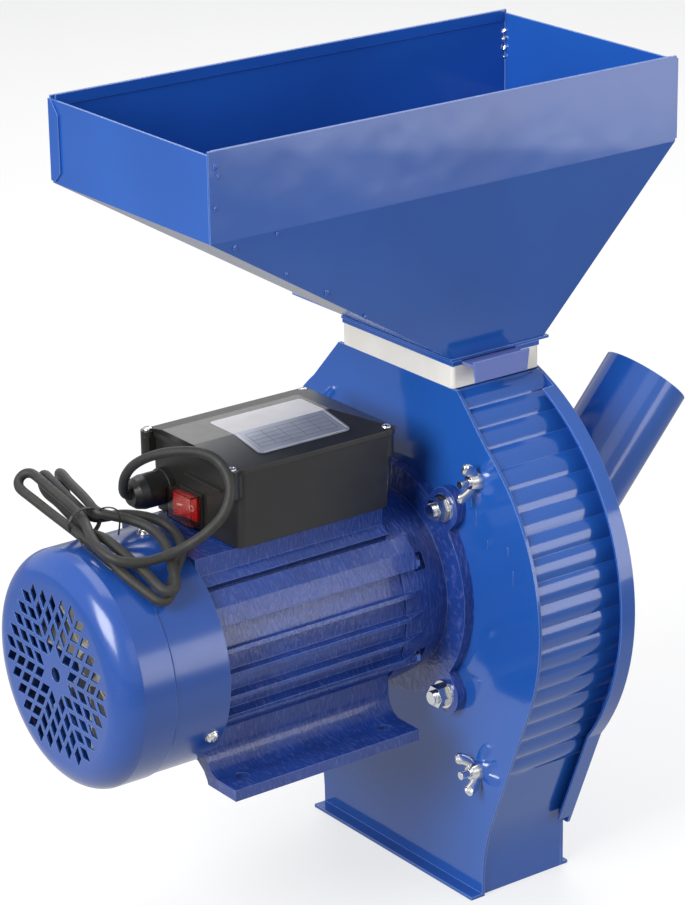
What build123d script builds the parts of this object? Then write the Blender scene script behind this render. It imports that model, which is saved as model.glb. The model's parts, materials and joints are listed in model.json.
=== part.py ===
"""Electric grain mill: a hammer mill with a foot-mounted motor and a sheet-metal hopper.

Units are millimetres. +X runs along the shaft from the motor's fan to the mill, +Y is
away from the discharge side that carries the gate's handle, and +Z is up. The origin is
the centre of the motor's four foot holes, on the plane that the feet stand on.
"""
import os
from math import atan2, cos, degrees, hypot, pi, radians, sin, tan

from build123d import *

os.makedirs("parts", exist_ok=True)

# ---------------------------------------------------------------- driving dimensions
shaft_height = 90.0  # foot plane to shaft axis
foot_hole_x = 125.0  # foot hole spacing along the shaft
foot_hole_y = 140.0  # foot hole spacing across the shaft
foot_hole_radius = 5.0
foot_width = 174.0
foot_thickness = 8.5
housing_length = 160.0
housing_bore = 66.0
housing_wall_radius = 72.5
fin_radius = 79.0
fin_pitch = 12.86  # degrees between fins
pad_height = 77.5  # flat on top of the housing, above the shaft axis
pad_width = 92.0
flange_bolt_y = 65.3  # offsets of the flange bolts from the shaft axis
flange_bolt_z = 72.8

cover_face_x = -167.6
cover_radius = 86.0
sheet = 1.5  # hopper and fan cover sheet
plate = 2.5  # mill chamber plate

chamber_x0 = 129.0  # motor-side face of the chamber
chamber_width = 77.5  # between the outer faces of the two plates
chamber_radius = 160.0
chamber_top = 160.0  # flat top above the shaft axis
chamber_top_half = 67.0
chamber_bottom = -228.0  # outlet plane below the shaft axis
outlet_half = 96.0
slant_angle = 51.0  # where the slanted shoulder meets the round
flare_angle = 22.0  # where the flare leaves the round, below the horizontal
lid_radius = 172.0
stud_y = 93.5
stud_z_top = 100.0
stud_z_low = -126.0

hopper_length = 400.0
hopper_width = 191.5
hopper_x0 = -93.0
hopper_top_z = 468.0
hopper_strip = 62.0
throat_x0, throat_x1 = 128.0, 217.0
throat_half = 65.0
throat_z = 270.0

box_x0, box_x1 = -48.0, 83.0
box_half = 52.0
box_z0 = shaft_height + pad_height + 1.5
box_z1 = 224.0

cord_radius = 3.5

chamber_x1 = chamber_x0 + chamber_width  # inner face of the cover
ground_z = shaft_height + chamber_bottom
shaft_axis = Axis((0, 0, shaft_height), (1, 0, 0))


def across(x):
    """Plane square to the shaft: local x is +Y, local y is +Z, normal is +X."""
    return Plane(origin=(x, 0, shaft_height), x_dir=(0, 1, 0), z_dir=(1, 0, 0))


# Half-plane through the shaft axis for turned parts: local x is +X, local y is the radius.
meridian = Plane(origin=(0, 0, shaft_height), x_dir=(1, 0, 0), z_dir=(0, -1, 0))


def turned(points):
    """Turn a closed profile of (x, radius) points about the shaft axis."""
    with BuildPart() as body:
        with BuildSketch(meridian):
            with BuildLine():
                Polyline(*points, close=True)
            make_face()
        revolve(axis=shaft_axis)
    return body.part


def write(builder, node):
    builder.part.label = node
    export_step(builder.part, f"parts/{node}.step")


# ================================================================ motor
def foot_rail(side):
    """Foot rail of the housing, with a web that sweeps up to the wall; side is +1 or -1."""
    outer = foot_width / 2

    def at(y, z):
        return (side * y, z - shaft_height)

    with BuildSketch() as rail:
        with BuildLine():
            Polyline(at(outer, 0), at(outer, foot_thickness), at(64.5, foot_thickness))
            ThreePointArc(at(64.5, foot_thickness), at(54.2, 14.8), at(51.2, 26))
            Polyline(at(51.2, 26), at(50.5, 45), at(45, 60), at(25, 30), at(31, 15.5))
            Polyline(at(31, 15.5), at(41, 14), at(48, 9), at(52, 3), at(53, 0), at(outer, 0))
        make_face()
    return rail.sketch


def polar(side, angle, radius):
    """Point in the across plane; the angle rises from +Y or, for side -1, from -Y."""
    return (side * radius * cos(radians(angle)), radius * sin(radians(angle)))


tie_bolt_ring = 73.5
tie_bolt_angles = (30, 150, 210, 330)
fin_top_angle = 13.4
fins_per_side = 4
fin_tip_half, fin_root_half = 1.1, 1.7  # degrees
boss_low, boss_ridge, boss_high = 26.2, 35.5, 45.0  # angles of the tie bolt boss
boss_ridge_radius = 80.5
bar_low, bar_high = 47.9, 54.6  # angles of the broad bar beside the pad


def fin_faces():
    """Cast fins on both sides of the housing."""
    root = housing_wall_radius - 1.5
    with BuildSketch() as fins:
        for side in (1, -1):
            for i in range(fins_per_side):
                middle = fin_top_angle - i * fin_pitch
                with BuildLine():
                    Polyline(
                        polar(side, middle - fin_root_half, root),
                        polar(side, middle - fin_tip_half, fin_radius),
                        polar(side, middle + fin_tip_half, fin_radius),
                        polar(side, middle + fin_root_half, root),
                        close=True,
                    )
                make_face()
    return fins.sketch


def boss_faces():
    """Ridged bosses that hold the upper tie bolts and small ones for the lower bolts."""
    root = housing_wall_radius - 4
    with BuildSketch() as bosses:
        for side in (1, -1):
            with BuildLine():
                Polyline(
                    polar(side, boss_low, root),
                    polar(side, boss_low, fin_radius),
                    polar(side, boss_ridge, boss_ridge_radius),
                    polar(side, boss_high, fin_radius),
                    polar(side, boss_high, root),
                    close=True,
                )
            make_face()
        for angle in tie_bolt_angles[2:]:
            with PolarLocations(tie_bolt_ring, 1, start_angle=angle):
                Circle(4.8)
    return bosses.sketch


with BuildPart() as motor_housing:
    with BuildSketch(across(-housing_length / 2)):
        Circle(housing_wall_radius)
        add(fin_faces())
        add(boss_faces())
        for side in (1, -1):
            with BuildLine():
                Polyline(
                    polar(side, bar_low, housing_wall_radius - 1),
                    polar(side, bar_low, fin_radius),
                    polar(side, bar_high, fin_radius),
                    polar(side, bar_high, housing_wall_radius - 1),
                    close=True,
                )
            make_face()
        with Locations((0, pad_height - 15)):
            Rectangle(pad_width, 30)
        with Locations((0, pad_height + 5)):
            Rectangle(pad_width, 10, mode=Mode.SUBTRACT)
        add(foot_rail(1))
        add(foot_rail(-1))
        Circle(housing_bore, mode=Mode.SUBTRACT)
        for angle in tie_bolt_angles:
            with PolarLocations(tie_bolt_ring, 1, start_angle=angle):
                Circle(2.8, mode=Mode.SUBTRACT)
    extrude(amount=housing_length)
    with BuildSketch(Plane.XY):
        with GridLocations(foot_hole_x, foot_hole_y, 2, 2):
            Circle(foot_hole_radius)
    extrude(amount=foot_thickness + 2, mode=Mode.SUBTRACT)
write(motor_housing, "motor_housing")

cover_screw_x = -90.0
cover_screw_angles = (89, 209, 329)


def outward(x, angle, radius):
    """Plane at x facing away from the shaft, at an angle in degrees and a radius."""
    radial = (0, cos(radians(angle)), sin(radians(angle)))
    centre = (x, radius * radial[1], shaft_height + radius * radial[2])
    return Plane(origin=centre, x_dir=(1, 0, 0), z_dir=radial)


rear_seat_x = -98.0
rear_bearing_width = 14.0
with BuildPart() as rear_end_shield:
    add(
        turned(
            [
                (rear_seat_x, 23.5),
                (rear_seat_x, 29),
                (-90, 31),
                (-90, 78.2),
                (rear_seat_x, 78.5),
                (rear_seat_x, 83),
                (-80, 83),
                (-80, 66),
                (-76, 65.9),
                (-76, 62),
                (-84, 62),
                (-84, 31),
                (-81, 29),
                (-81, 16),
                (-84, 16),
                (-84, 23.5),
            ]
        )
    )
    with BuildSketch(across(rear_seat_x)):
        for angle in tie_bolt_angles:
            with PolarLocations(tie_bolt_ring, 1, start_angle=angle):
                Circle(2.8)
    extrude(amount=25, mode=Mode.SUBTRACT)
    for angle in cover_screw_angles:
        with BuildSketch(outward(cover_screw_x, angle, 75)):
            Circle(2.4)
        extrude(amount=10, mode=Mode.SUBTRACT)
write(rear_end_shield, "rear_end_shield")

flange_x = 120.5
flange_ring = 89.0
shield_boss_end = 93.0
rib_end = 98.0
bearing_stop_x = 112.0
with BuildPart() as shield_ribs:
    with BuildSketch(across(housing_length / 2)):
        add(fin_faces())
    extrude(amount=rib_end - housing_length / 2)
    add(turned([(80, 0), (80, fin_radius), (rib_end, 72.5), (rib_end, 0)]), mode=Mode.INTERSECT)

with BuildPart() as front_end_shield:
    add(
        turned(
            [
                (76, 62),
                (76, 65.9),
                (80, 66),
                (80, 74),
                (94, 73.6),
                (107, 72),
                (flange_x, 69),
                (flange_x, 84),
                (chamber_x0, 84),
                (chamber_x0, 60),
                (119, 54),
                (119, 34),
                (127, 34),
                (127, 19),
                (bearing_stop_x, 19),
                (bearing_stop_x, 26),
                (97, 26),
                (97, 34),
                (108, 40),
                (108, 58),
                (90, 64),
                (84, 62),
            ]
        )
    )
    add(shield_ribs.part)
    with BuildSketch(across(housing_length / 2)):
        add(boss_faces())
    extrude(amount=shield_boss_end - housing_length / 2)
    lobe_reach = hypot(flange_bolt_y, flange_bolt_z)
    lobe_angle = degrees(atan2(flange_bolt_z, flange_bolt_y))
    lobe_radius = 15.0
    with BuildSketch(across(flange_x)) as flange_outline:
        Circle(flange_ring)
        for angle in (lobe_angle, 180 - lobe_angle, 180 + lobe_angle, -lobe_angle):
            with PolarLocations(lobe_reach / 2, 1, start_angle=angle):
                Rectangle(lobe_reach, 2 * lobe_radius)
            with PolarLocations(lobe_reach, 1, start_angle=angle):
                Circle(lobe_radius)
        inner_corners = flange_outline.vertices().filter_by(
            lambda v: abs(hypot(v.Y, v.Z - shaft_height) - flange_ring) < 1
        )
        fillet(inner_corners, radius=8)
        Circle(80, mode=Mode.SUBTRACT)
        with GridLocations(2 * flange_bolt_y, 2 * flange_bolt_z, 2, 2):
            Circle(5.5, mode=Mode.SUBTRACT)
    extrude(amount=chamber_x0 - flange_x)
    with BuildSketch(across(76)):
        for angle in tie_bolt_angles:
            with PolarLocations(tie_bolt_ring, 1, start_angle=angle):
                Circle(2.8)
    extrude(amount=22, mode=Mode.SUBTRACT)
    with BuildSketch(across(shield_boss_end)):
        for angle in tie_bolt_angles:
            with PolarLocations(tie_bolt_ring, 1, start_angle=angle):
                Circle(6.5)
    extrude(amount=11, mode=Mode.SUBTRACT)
write(front_end_shield, "front_end_shield")

tie_bolt_head = 4.0
tie_bolt_spans = ((-94, -90, 4.5), (shield_boss_end, shield_boss_end + tie_bolt_head, 4.5))
with BuildPart() as tie_bolts:
    for angle in tie_bolt_angles:
        with BuildSketch(across(-90)):
            with PolarLocations(tie_bolt_ring, 1, start_angle=angle):
                Circle(2.5)
        extrude(amount=shield_boss_end + 90)
        for x0, x1, radius in tie_bolt_spans:
            with BuildSketch(across(x0)):
                with PolarLocations(tie_bolt_ring, 1, start_angle=angle):
                    RegularPolygon(radius, 6)
            extrude(amount=x1 - x0)
write(tie_bolts, "tie_bolts")

# Fan cover: a deep-drawn cap whose face is pierced by six sectors of rhombic slots.
cap_face_radius = 66.0
slot_pitch = 12.2
slot_side = 9.0
slot_rows = 5
grille_hole_radius = 5.5


def cap_profile(inset):
    """Half profile of the cap, moved inwards by inset."""
    r = cover_radius - inset
    with BuildLine() as line:
        face = Line((cover_face_x + inset, 0), (cover_face_x + inset, cap_face_radius - inset / 2))
        shoulder = ThreePointArc(
            face @ 1, (-162.5 + inset, 79 - inset), (-150 + inset, r)
        )
        Polyline(shoulder @ 1, (-125, r), (-123.5, r - 1), (-80, r - 1), (-80, 0), face @ 0)
    return line.line


with BuildPart() as fan_cover:
    with BuildSketch(meridian):
        add(cap_profile(0))
        make_face()
    revolve(axis=shaft_axis)
    with BuildSketch(meridian):
        add(cap_profile(sheet))
        make_face()
    revolve(axis=shaft_axis, mode=Mode.SUBTRACT)
    with BuildSketch(across(cover_face_x - 1)):
        Circle(grille_hole_radius)
        for sector in range(6):
            first = radians(60 * sector)
            second = radians(60 * sector + 60)
            for i in range(slot_rows):
                for j in range(slot_rows - i):
                    if i + j == 0:
                        continue
                    along = (i + 0.5) * slot_pitch
                    aside = (j + 0.5) * slot_pitch
                    half = slot_side / 2
                    corners = [
                        (
                            (along + a) * cos(first) + (aside + b) * cos(second),
                            (along + a) * sin(first) + (aside + b) * sin(second),
                        )
                        for a, b in ((-half, -half), (half, -half), (half, half), (-half, half))
                    ]
                    with BuildLine():
                        Polyline(*corners, close=True)
                    make_face()
    extrude(amount=4, mode=Mode.SUBTRACT)
    for angle in cover_screw_angles:
        with BuildSketch(outward(cover_screw_x, angle, 80)):
            Circle(2.6)
        extrude(amount=8, mode=Mode.SUBTRACT)
write(fan_cover, "fan_cover")

skirt_radius = cover_radius - 1
with BuildPart() as fan_cover_screws:
    for angle in cover_screw_angles:
        with BuildSketch(outward(cover_screw_x, angle, 79.5)):
            Circle(2.4)
        extrude(amount=skirt_radius - 79.5)
        with BuildSketch(outward(cover_screw_x, angle, skirt_radius)):
            Circle(5.5)
        extrude(amount=1)
        with BuildSketch(outward(cover_screw_x, angle, skirt_radius + 1)):
            Circle(4.4)
        extrude(amount=2.6, taper=20)
write(fan_cover_screws, "fan_cover_screws")

fan_bore = 9.0
blade_count = 8
with BuildPart() as cooling_fan:
    add(
        turned(
            [
                (-140, fan_bore),
                (-140, 16),
                (-116, 19),
                (-116, 42),
                (-113.5, 42),
                (-113.5, fan_bore),
            ]
        )
    )
    with BuildSketch(across(-141)):
        with PolarLocations(16 + 29, blade_count):
            Rectangle(58, 2.2)
    extrude(amount=26)
write(cooling_fan, "cooling_fan")

core_half = 42.0
with BuildPart() as stator_core:
    with BuildSketch(across(-core_half)):
        Circle(housing_bore - 0.05)
        Circle(41, mode=Mode.SUBTRACT)
    extrude(amount=2 * core_half)
write(stator_core, "stator_core")

with BuildPart() as stator_windings:
    for x in (-core_half - 19, core_half + 1):
        with BuildSketch(meridian):
            with Locations((x + 9, 53)):
                RectangleRounded(18, 16, 5)
        revolve(axis=shaft_axis)
write(stator_windings, "stator_windings")

with BuildPart() as rotor_core:
    with BuildSketch(across(-core_half)):
        Circle(40.5)
        Circle(17, mode=Mode.SUBTRACT)
    extrude(amount=2 * core_half)
    with BuildSketch(across(-core_half - 8)):
        Circle(38)
        Circle(27, mode=Mode.SUBTRACT)
    extrude(amount=2 * core_half + 16)
write(rotor_core, "rotor_core")

key_x0, key_x1 = 145.0, 175.0
hub_bore = 12.0
with BuildPart() as motor_shaft:
    add(
        turned(
            [
                (-142, 0),
                (-142, fan_bore),
                (rear_seat_x, fan_bore),
                (rear_seat_x, 10),
                (-84, 10),
                (-84, 14),
                (-core_half, 14),
                (-core_half, 17),
                (core_half, 17),
                (core_half, 16),
                (97, 16),
                (97, 12.5),
                (bearing_stop_x, 12.5),
                (bearing_stop_x, hub_bore),
                (188, hub_bore),
                (188, 0),
            ]
        )
    )
    with BuildSketch(Plane.XY.offset(shaft_height + 8)):
        with Locations(((key_x0 + key_x1) / 2, 0)):
            Rectangle(key_x1 - key_x0, 8)
    extrude(amount=10, mode=Mode.SUBTRACT)
    with BuildSketch(across(189)):
        Circle(3.4)
    extrude(amount=-24, mode=Mode.SUBTRACT)
write(motor_shaft, "motor_shaft")

with BuildPart() as shaft_key:
    with BuildSketch(Plane.XY.offset(shaft_height + 8)):
        with Locations(((key_x0 + key_x1) / 2, 0)):
            Rectangle(key_x1 - key_x0, 8)
    extrude(amount=7)
write(shaft_key, "shaft_key")


def ball_bearing(x0, width, bore, outer):
    """Two rings with a caged groove between them, drawn as one closed ring."""
    mid = (bore + outer) / 2
    return turned(
        [
            (x0, bore),
            (x0, mid - 2.5),
            (x0 + 1.5, mid - 2),
            (x0 + 1.5, mid + 2),
            (x0, mid + 2.5),
            (x0, outer),
            (x0 + width, outer),
            (x0 + width, mid + 2.5),
            (x0 + width - 1.5, mid + 2),
            (x0 + width - 1.5, mid - 2),
            (x0 + width, mid - 2.5),
            (x0 + width, bore),
        ]
    )


running_gap = 0.03
with BuildPart() as ball_bearings:
    add(ball_bearing(rear_seat_x, rear_bearing_width, 10 + running_gap, 23.5))
    add(ball_bearing(97, 15, 12.5 + running_gap, 26))
write(ball_bearings, "ball_bearings")

with BuildPart() as shaft_seal:
    add(turned([(113, 12.1), (113, 18.9), (121, 18.9), (121, 17), (115, 15), (115, 12.1)]))
write(shaft_seal, "shaft_seal")

with BuildPart() as starting_switch:
    add(turned([(-74, 19), (-74, 34), (-71, 34), (-71, 24), (-66, 22), (-66, 19)]))
write(starting_switch, "starting_switch")

# Flange bolts, each followed by its nut with a turned collar.
bolt_radius = 5.0
thread_end_x = flange_x - 13
nut_collar, nut_height = 2.0, 7.5
with BuildPart() as flange_bolts:
    for y in (-flange_bolt_y, flange_bolt_y):
        for z in (-flange_bolt_z, flange_bolt_z):
            with BuildSketch(across(chamber_x0 + plate)):
                with Locations((y, z)):
                    RegularPolygon(8.5, 6)
            extrude(amount=6)
            with BuildSketch(across(thread_end_x)):
                with Locations((y, z)):
                    Circle(bolt_radius)
            extrude(amount=chamber_x0 + plate - thread_end_x)

with BuildPart() as flange_nuts:
    for y in (-flange_bolt_y, flange_bolt_y):
        for z in (-flange_bolt_z, flange_bolt_z):
            with BuildSketch(across(flange_x)):
                with Locations((y, z)):
                    Circle(10.9)
            extrude(amount=-nut_collar, taper=12)
            with BuildSketch(across(flange_x - nut_collar)):
                with Locations((y, z)):
                    RegularPolygon(8.6, 6)
            extrude(amount=-nut_height)
            with BuildSketch(across(flange_x)):
                with Locations((y, z)):
                    Circle(bolt_radius + 0.05)
            extrude(amount=-nut_collar - nut_height, mode=Mode.SUBTRACT)
    add(flange_bolts.part)
write(flange_nuts, "flange_bolts")


# ================================================================ mill chamber
def outline(inset=0.0, foot_drop=0.0):
    """Closed outline of the chamber seen along the shaft, moved inwards by inset."""
    r = chamber_radius - inset
    top = chamber_top - inset
    half = chamber_top_half - 0.6 * inset
    slant = (r * cos(radians(slant_angle)), r * sin(radians(slant_angle)))
    leave = (r * cos(radians(flare_angle)), -r * sin(radians(flare_angle)))
    foot = outlet_half - inset
    knee = leave[1] - (leave[0] - foot) / tan(radians(flare_angle))
    bottom = chamber_bottom - foot_drop
    with BuildSketch() as face:
        with BuildLine():
            Polyline((-half, top), (half, top), slant)
            ThreePointArc(slant, (r, 0), leave)
            Polyline(leave, (foot, knee), (foot, bottom), (-foot, bottom), (-foot, knee))
            Line((-foot, knee), (-leave[0], leave[1]))
            ThreePointArc((-leave[0], leave[1]), (-r, 0), (-slant[0], slant[1]))
            Line((-slant[0], slant[1]), (-half, top))
        make_face()
        knees = face.vertices().filter_by(lambda v: abs(v.Y - knee) < 0.01)
        fillet(knees, radius=150)
    return face.sketch


wave_pitch = 17.2
wave_rise = 1.9


def wave_nodes(inset):
    """Creases of the corrugated sheet from the shoulder down to the flare, on the +Y side."""
    r = chamber_radius - inset
    half = chamber_top_half - 0.6 * inset
    start = (r * cos(radians(slant_angle)), r * sin(radians(slant_angle)))
    leave = (r * cos(radians(flare_angle)), -r * sin(radians(flare_angle)))
    slant_length = hypot(start[0] - half, start[1] - chamber_top + inset)
    slant_waves = round(slant_length / wave_pitch)
    arc_waves = round(radians(slant_angle + flare_angle) * chamber_radius / wave_pitch)
    flare_waves = 4
    nodes = []
    for k in range(slant_waves):
        t = k / slant_waves
        nodes.append(
            (half + t * (start[0] - half), chamber_top - inset + t * (start[1] - chamber_top + inset))
        )
    for k in range(arc_waves + 1):
        a = radians(slant_angle - k * (slant_angle + flare_angle) / arc_waves)
        nodes.append((r * cos(a), r * sin(a)))
    for k in range(1, flare_waves + 1):
        s = k * wave_pitch * (1 - 0.004 * inset)
        nodes.append(
            (
                leave[0] - s * sin(radians(flare_angle)),
                leave[1] - s * cos(radians(flare_angle)),
            )
        )
    return nodes


def corrugated_outline(inset, foot_drop=0.0):
    """Outline with the waves of the band: one outward arc between each pair of creases."""
    nodes = wave_nodes(inset)
    foot = outlet_half - inset
    leave = nodes[-1]
    knee = leave[1] - (leave[0] - foot) / tan(radians(flare_angle))
    bottom = chamber_bottom - foot_drop
    top = chamber_top - inset
    with BuildSketch() as face:
        with BuildLine():
            for side in (1, -1):
                for (y0, z0), (y1, z1) in zip(nodes, nodes[1:]):
                    length = hypot(y1 - y0, z1 - z0)
                    ny, nz = -(z1 - z0) / length, (y1 - y0) / length
                    mid = (
                        side * ((y0 + y1) / 2 + wave_rise * ny),
                        (z0 + z1) / 2 + wave_rise * nz,
                    )
                    ThreePointArc((side * y0, z0), mid, (side * y1, z1))
                last = (side * leave[0], leave[1])
                Polyline(last, (side * foot, knee), (side * foot, bottom))
            Line((-nodes[0][0], top), (nodes[0][0], top))
            Line((-foot, bottom), (foot, bottom))
        make_face()
        knees = face.vertices().filter_by(lambda v: abs(v.Y - knee) < 0.01)
        fillet(knees, radius=120)
    return face.sketch


shaft_hole = 30.0
band_inset = 1.0
band_sheet = 2.0
sieve_radius = 116.0
sieve_thickness = 1.5
sieve_x0, sieve_x1 = 134.0, 204.0
sieve_start, sieve_end = 165.0, 375.0
lip_radius = sieve_radius + sieve_thickness + 0.3
stud_places = [
    (side * stud_y, height) for side in (-1, 1) for height in (stud_z_top, stud_z_low)
]


def arc_strip(inner, outer, start, end):
    """Sector of a ring about the shaft, from start to end degrees, as a sketch."""
    with BuildSketch() as strip:
        with BuildLine():
            a0, a1, mid = radians(start), radians(end), radians((start + end) / 2)
            ring = []
            for r in (inner, outer):
                ring.append([(r * cos(a), r * sin(a)) for a in (a0, mid, a1)])
            ThreePointArc(*ring[0])
            Line(ring[0][2], ring[1][2])
            ThreePointArc(*reversed(ring[1]))
            Line(ring[1][0], ring[0][0])
        make_face()
    return strip.sketch


with BuildPart() as chamber_back_plate:
    with BuildSketch(across(chamber_x0)):
        add(outline(-2.0))
        with Locations((0, chamber_top + 10)):
            Rectangle(300, 20, mode=Mode.SUBTRACT)
        Circle(shaft_hole, mode=Mode.SUBTRACT)
        with GridLocations(2 * flange_bolt_y, 2 * flange_bolt_z, 2, 2):
            Circle(5.5, mode=Mode.SUBTRACT)
        with Locations(*stud_places):
            Circle(3.4, mode=Mode.SUBTRACT)
    extrude(amount=plate)
    with BuildSketch(Plane.XY.offset(ground_z)):
        with Locations((chamber_x0 - 4, 0)):
            Rectangle(12, 2 * outlet_half + 4)
    extrude(amount=plate)
    with BuildSketch(across(chamber_x0 + plate)):
        add(arc_strip(lip_radius, lip_radius + 3, sieve_start, sieve_end))
    extrude(amount=6)
write(chamber_back_plate, "chamber_back_plate")

with BuildPart() as chamber_band:
    with BuildSketch(across(chamber_x0 + plate)):
        add(corrugated_outline(band_inset))
        add(corrugated_outline(band_inset + band_sheet, foot_drop=5), mode=Mode.SUBTRACT)
    extrude(amount=chamber_width - plate)
    with BuildSketch(Plane.XY.offset(shaft_height + chamber_top + 5)):
        with Locations(((chamber_x0 + plate + chamber_x1) / 2, 0)):
            Rectangle(62, 114)
    extrude(amount=-20, mode=Mode.SUBTRACT)
write(chamber_band, "chamber_band")

cover_low = -189.0
with BuildPart() as outlet_front_wall:
    with BuildSketch(across(chamber_x1)):
        with Locations((0, (cover_low - 0.5 + chamber_bottom) / 2)):
            Rectangle(2 * outlet_half - 2, cover_low - 0.5 - chamber_bottom)
    extrude(amount=plate)
    with BuildSketch(Plane.XY.offset(ground_z)):
        with Locations((chamber_x1 + plate + 2, 0)):
            Rectangle(5, 2 * outlet_half - 2)
    extrude(amount=plate)
write(outlet_front_wall, "outlet_front_wall")

pipe_angle = 48.5
pipe_bore, pipe_radius = 31.0, 33.0
pipe_straight = 118.0  # full bore from the mouth down to the relieved end at the cover
pipe_relief = 31.6
pipe_y = -60.0
pipe_end = (315.0, pipe_y, 218.0)
pipe_direction = (cos(radians(pipe_angle)), 0, sin(radians(pipe_angle)))
pipe_mouth = Plane(origin=pipe_end, x_dir=(0, 1, 0), z_dir=pipe_direction)
rim_depth = 10.0
cover_outer_x = chamber_x1 + plate


def cover_outline(inset=0.0):
    """Round lid with a cut-off top and a straight skirt over the flare."""
    r = chamber_radius + 6 - inset
    leave = (r * cos(radians(flare_angle)), -r * sin(radians(flare_angle)))
    low_half = leave[0] - (leave[1] - cover_low) * tan(radians(flare_angle))
    with BuildSketch() as face:
        Circle(lid_radius - inset)
        with Locations((0, chamber_top + 50)):
            Rectangle(400, 100, mode=Mode.SUBTRACT)
        with BuildLine():
            Polyline(
                leave,
                (low_half, cover_low),
                (-low_half, cover_low),
                (-leave[0], leave[1]),
                close=True,
            )
        make_face()
    return face.sketch


with BuildPart() as chamber_cover:
    with BuildSketch(across(chamber_x1)):
        add(cover_outline())
    extrude(amount=plate)
    with BuildSketch(across(chamber_x1)):
        add(cover_outline())
        add(cover_outline(1.8), mode=Mode.SUBTRACT)
        with Locations((0, chamber_top)):
            Rectangle(2 * chamber_top_half + 32, 60, mode=Mode.SUBTRACT)
        with Locations((0, cover_low)):
            Rectangle(2 * outlet_half + 40, 12, mode=Mode.SUBTRACT)
    extrude(amount=-rim_depth)
    with BuildSketch(across(chamber_x1)):
        add(arc_strip(lip_radius, lip_radius + 3, sieve_start, sieve_end))
    extrude(amount=-6)
    with BuildSketch(pipe_mouth):
        Circle(pipe_relief)
    extrude(amount=-300, mode=Mode.SUBTRACT)
    with BuildSketch(across(chamber_x1)):
        with Locations(*stud_places):
            Circle(3)
    extrude(amount=plate, mode=Mode.SUBTRACT)
write(chamber_cover, "chamber_cover")

with BuildPart() as inlet_pipe:
    with BuildSketch(pipe_mouth):
        Circle(pipe_radius)
        Circle(pipe_bore, mode=Mode.SUBTRACT)
    extrude(amount=-260)
    with BuildSketch(pipe_mouth.offset(-pipe_straight)):
        Circle(pipe_relief)
    extrude(amount=-150, mode=Mode.SUBTRACT)
    split(bisect_by=Plane(origin=(cover_outer_x, 0, 0), z_dir=(1, 0, 0)), keep=Keep.TOP)
write(inlet_pipe, "inlet_pipe")

stud_tip_x = 112.5
with BuildPart() as cover_studs:
    with BuildSketch(across(stud_tip_x)):
        with Locations(*stud_places):
            Circle(3)
    extrude(amount=cover_outer_x - stud_tip_x)
    with BuildSketch(across(cover_outer_x)):
        with Locations(*stud_places):
            RegularPolygon(5.8, 6)
    extrude(amount=4)
write(cover_studs, "cover_studs")

wing_turns = (12, 60, -15, 100)
for number, ((y, z), turn) in enumerate(zip(stud_places, wing_turns), start=1):
    nut_axis = Axis((0, y, shaft_height + z), (1, 0, 0))
    wing_plane = Plane(
        origin=(0, y, shaft_height + z),
        x_dir=(1, 0, 0),
        z_dir=(0, -sin(radians(90 + turn)), cos(radians(90 + turn))),
    )
    with BuildPart() as wing_nut:
        with BuildSketch(wing_plane):
            with BuildLine():
                Polyline(
                    (chamber_x0, 3.05),
                    (chamber_x0, 7.2),
                    (chamber_x0 - 1.5, 7.2),
                    (chamber_x0 - 8.5, 5.2),
                    (chamber_x0 - 8.5, 3.05),
                    close=True,
                )
            make_face()
        revolve(axis=nut_axis)
        with BuildSketch(wing_plane):
            for side in (1, -1):
                with BuildLine():
                    Polyline(
                        (chamber_x0 - 1, side * 4.5),
                        (chamber_x0 - 2.5, side * 9),
                        (chamber_x0 - 11, side * 14.3),
                        (chamber_x0 - 16, side * 12.5),
                        (chamber_x0 - 13.5, side * 8.5),
                        (chamber_x0 - 8, side * 4.5),
                        close=True,
                    )
                make_face()
        extrude(amount=1.5, both=True)
    write(wing_nut, f"wing_nut_{number}")

with BuildPart() as sieve:
    with BuildSketch(across(sieve_x0)):
        add(arc_strip(sieve_radius, sieve_radius + sieve_thickness, sieve_start, sieve_end))
    extrude(amount=sieve_x1 - sieve_x0)
    hole_columns = 14
    for k in range(hole_columns):
        angle = sieve_start + (k + 0.5) * (sieve_end - sieve_start) / hole_columns
        with BuildSketch(outward((sieve_x0 + sieve_x1) / 2, angle, sieve_radius - 3)):
            with GridLocations(15, 1, 4, 1):
                Circle(4)
        extrude(amount=8, mode=Mode.SUBTRACT)
write(sieve, "sieve")

# ---------------------------------------------------------------- hammer rotor
disc_radius = 72.0
disc_x = (146.0, 181.0)
disc_thickness = 5.0
pin_ring = 60.0
pin_radius = 5.0
pin_angles = (45, 135, 225, 315)
hammer_x0, hammer_thickness = 162.0, 8.0
hammer_length, hammer_width = 56.0, 28.0
hammer_eye = 10.0  # from a hammer's end to the centre of its hole
pin_places = [
    (pin_ring * cos(radians(a)), pin_ring * sin(radians(a))) for a in pin_angles
]

with BuildPart() as rotor_hub:
    add(turned([(141, hub_bore), (141, 20), (190, 20), (190, hub_bore)]))
    for x in disc_x:
        with BuildSketch(across(x)):
            Circle(disc_radius)
            Circle(19, mode=Mode.SUBTRACT)
            with Locations(*pin_places):
                Circle(pin_radius, mode=Mode.SUBTRACT)
        extrude(amount=disc_thickness)
    with BuildSketch(Plane.XY.offset(shaft_height + 8)):
        with Locations((165, 0)):
            Rectangle(60, 8)
    extrude(amount=7, mode=Mode.SUBTRACT)
write(rotor_hub, "rotor_hub")

with BuildPart() as hammer_pins:
    for x, radius, length in ((143, 7.5, 3), (146, pin_radius, 43), (186, 7.5, 2.5)):
        with BuildSketch(across(x)):
            with Locations(*pin_places):
                Circle(radius)
        extrude(amount=length)
write(hammer_pins, "hammer_pins")

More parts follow.
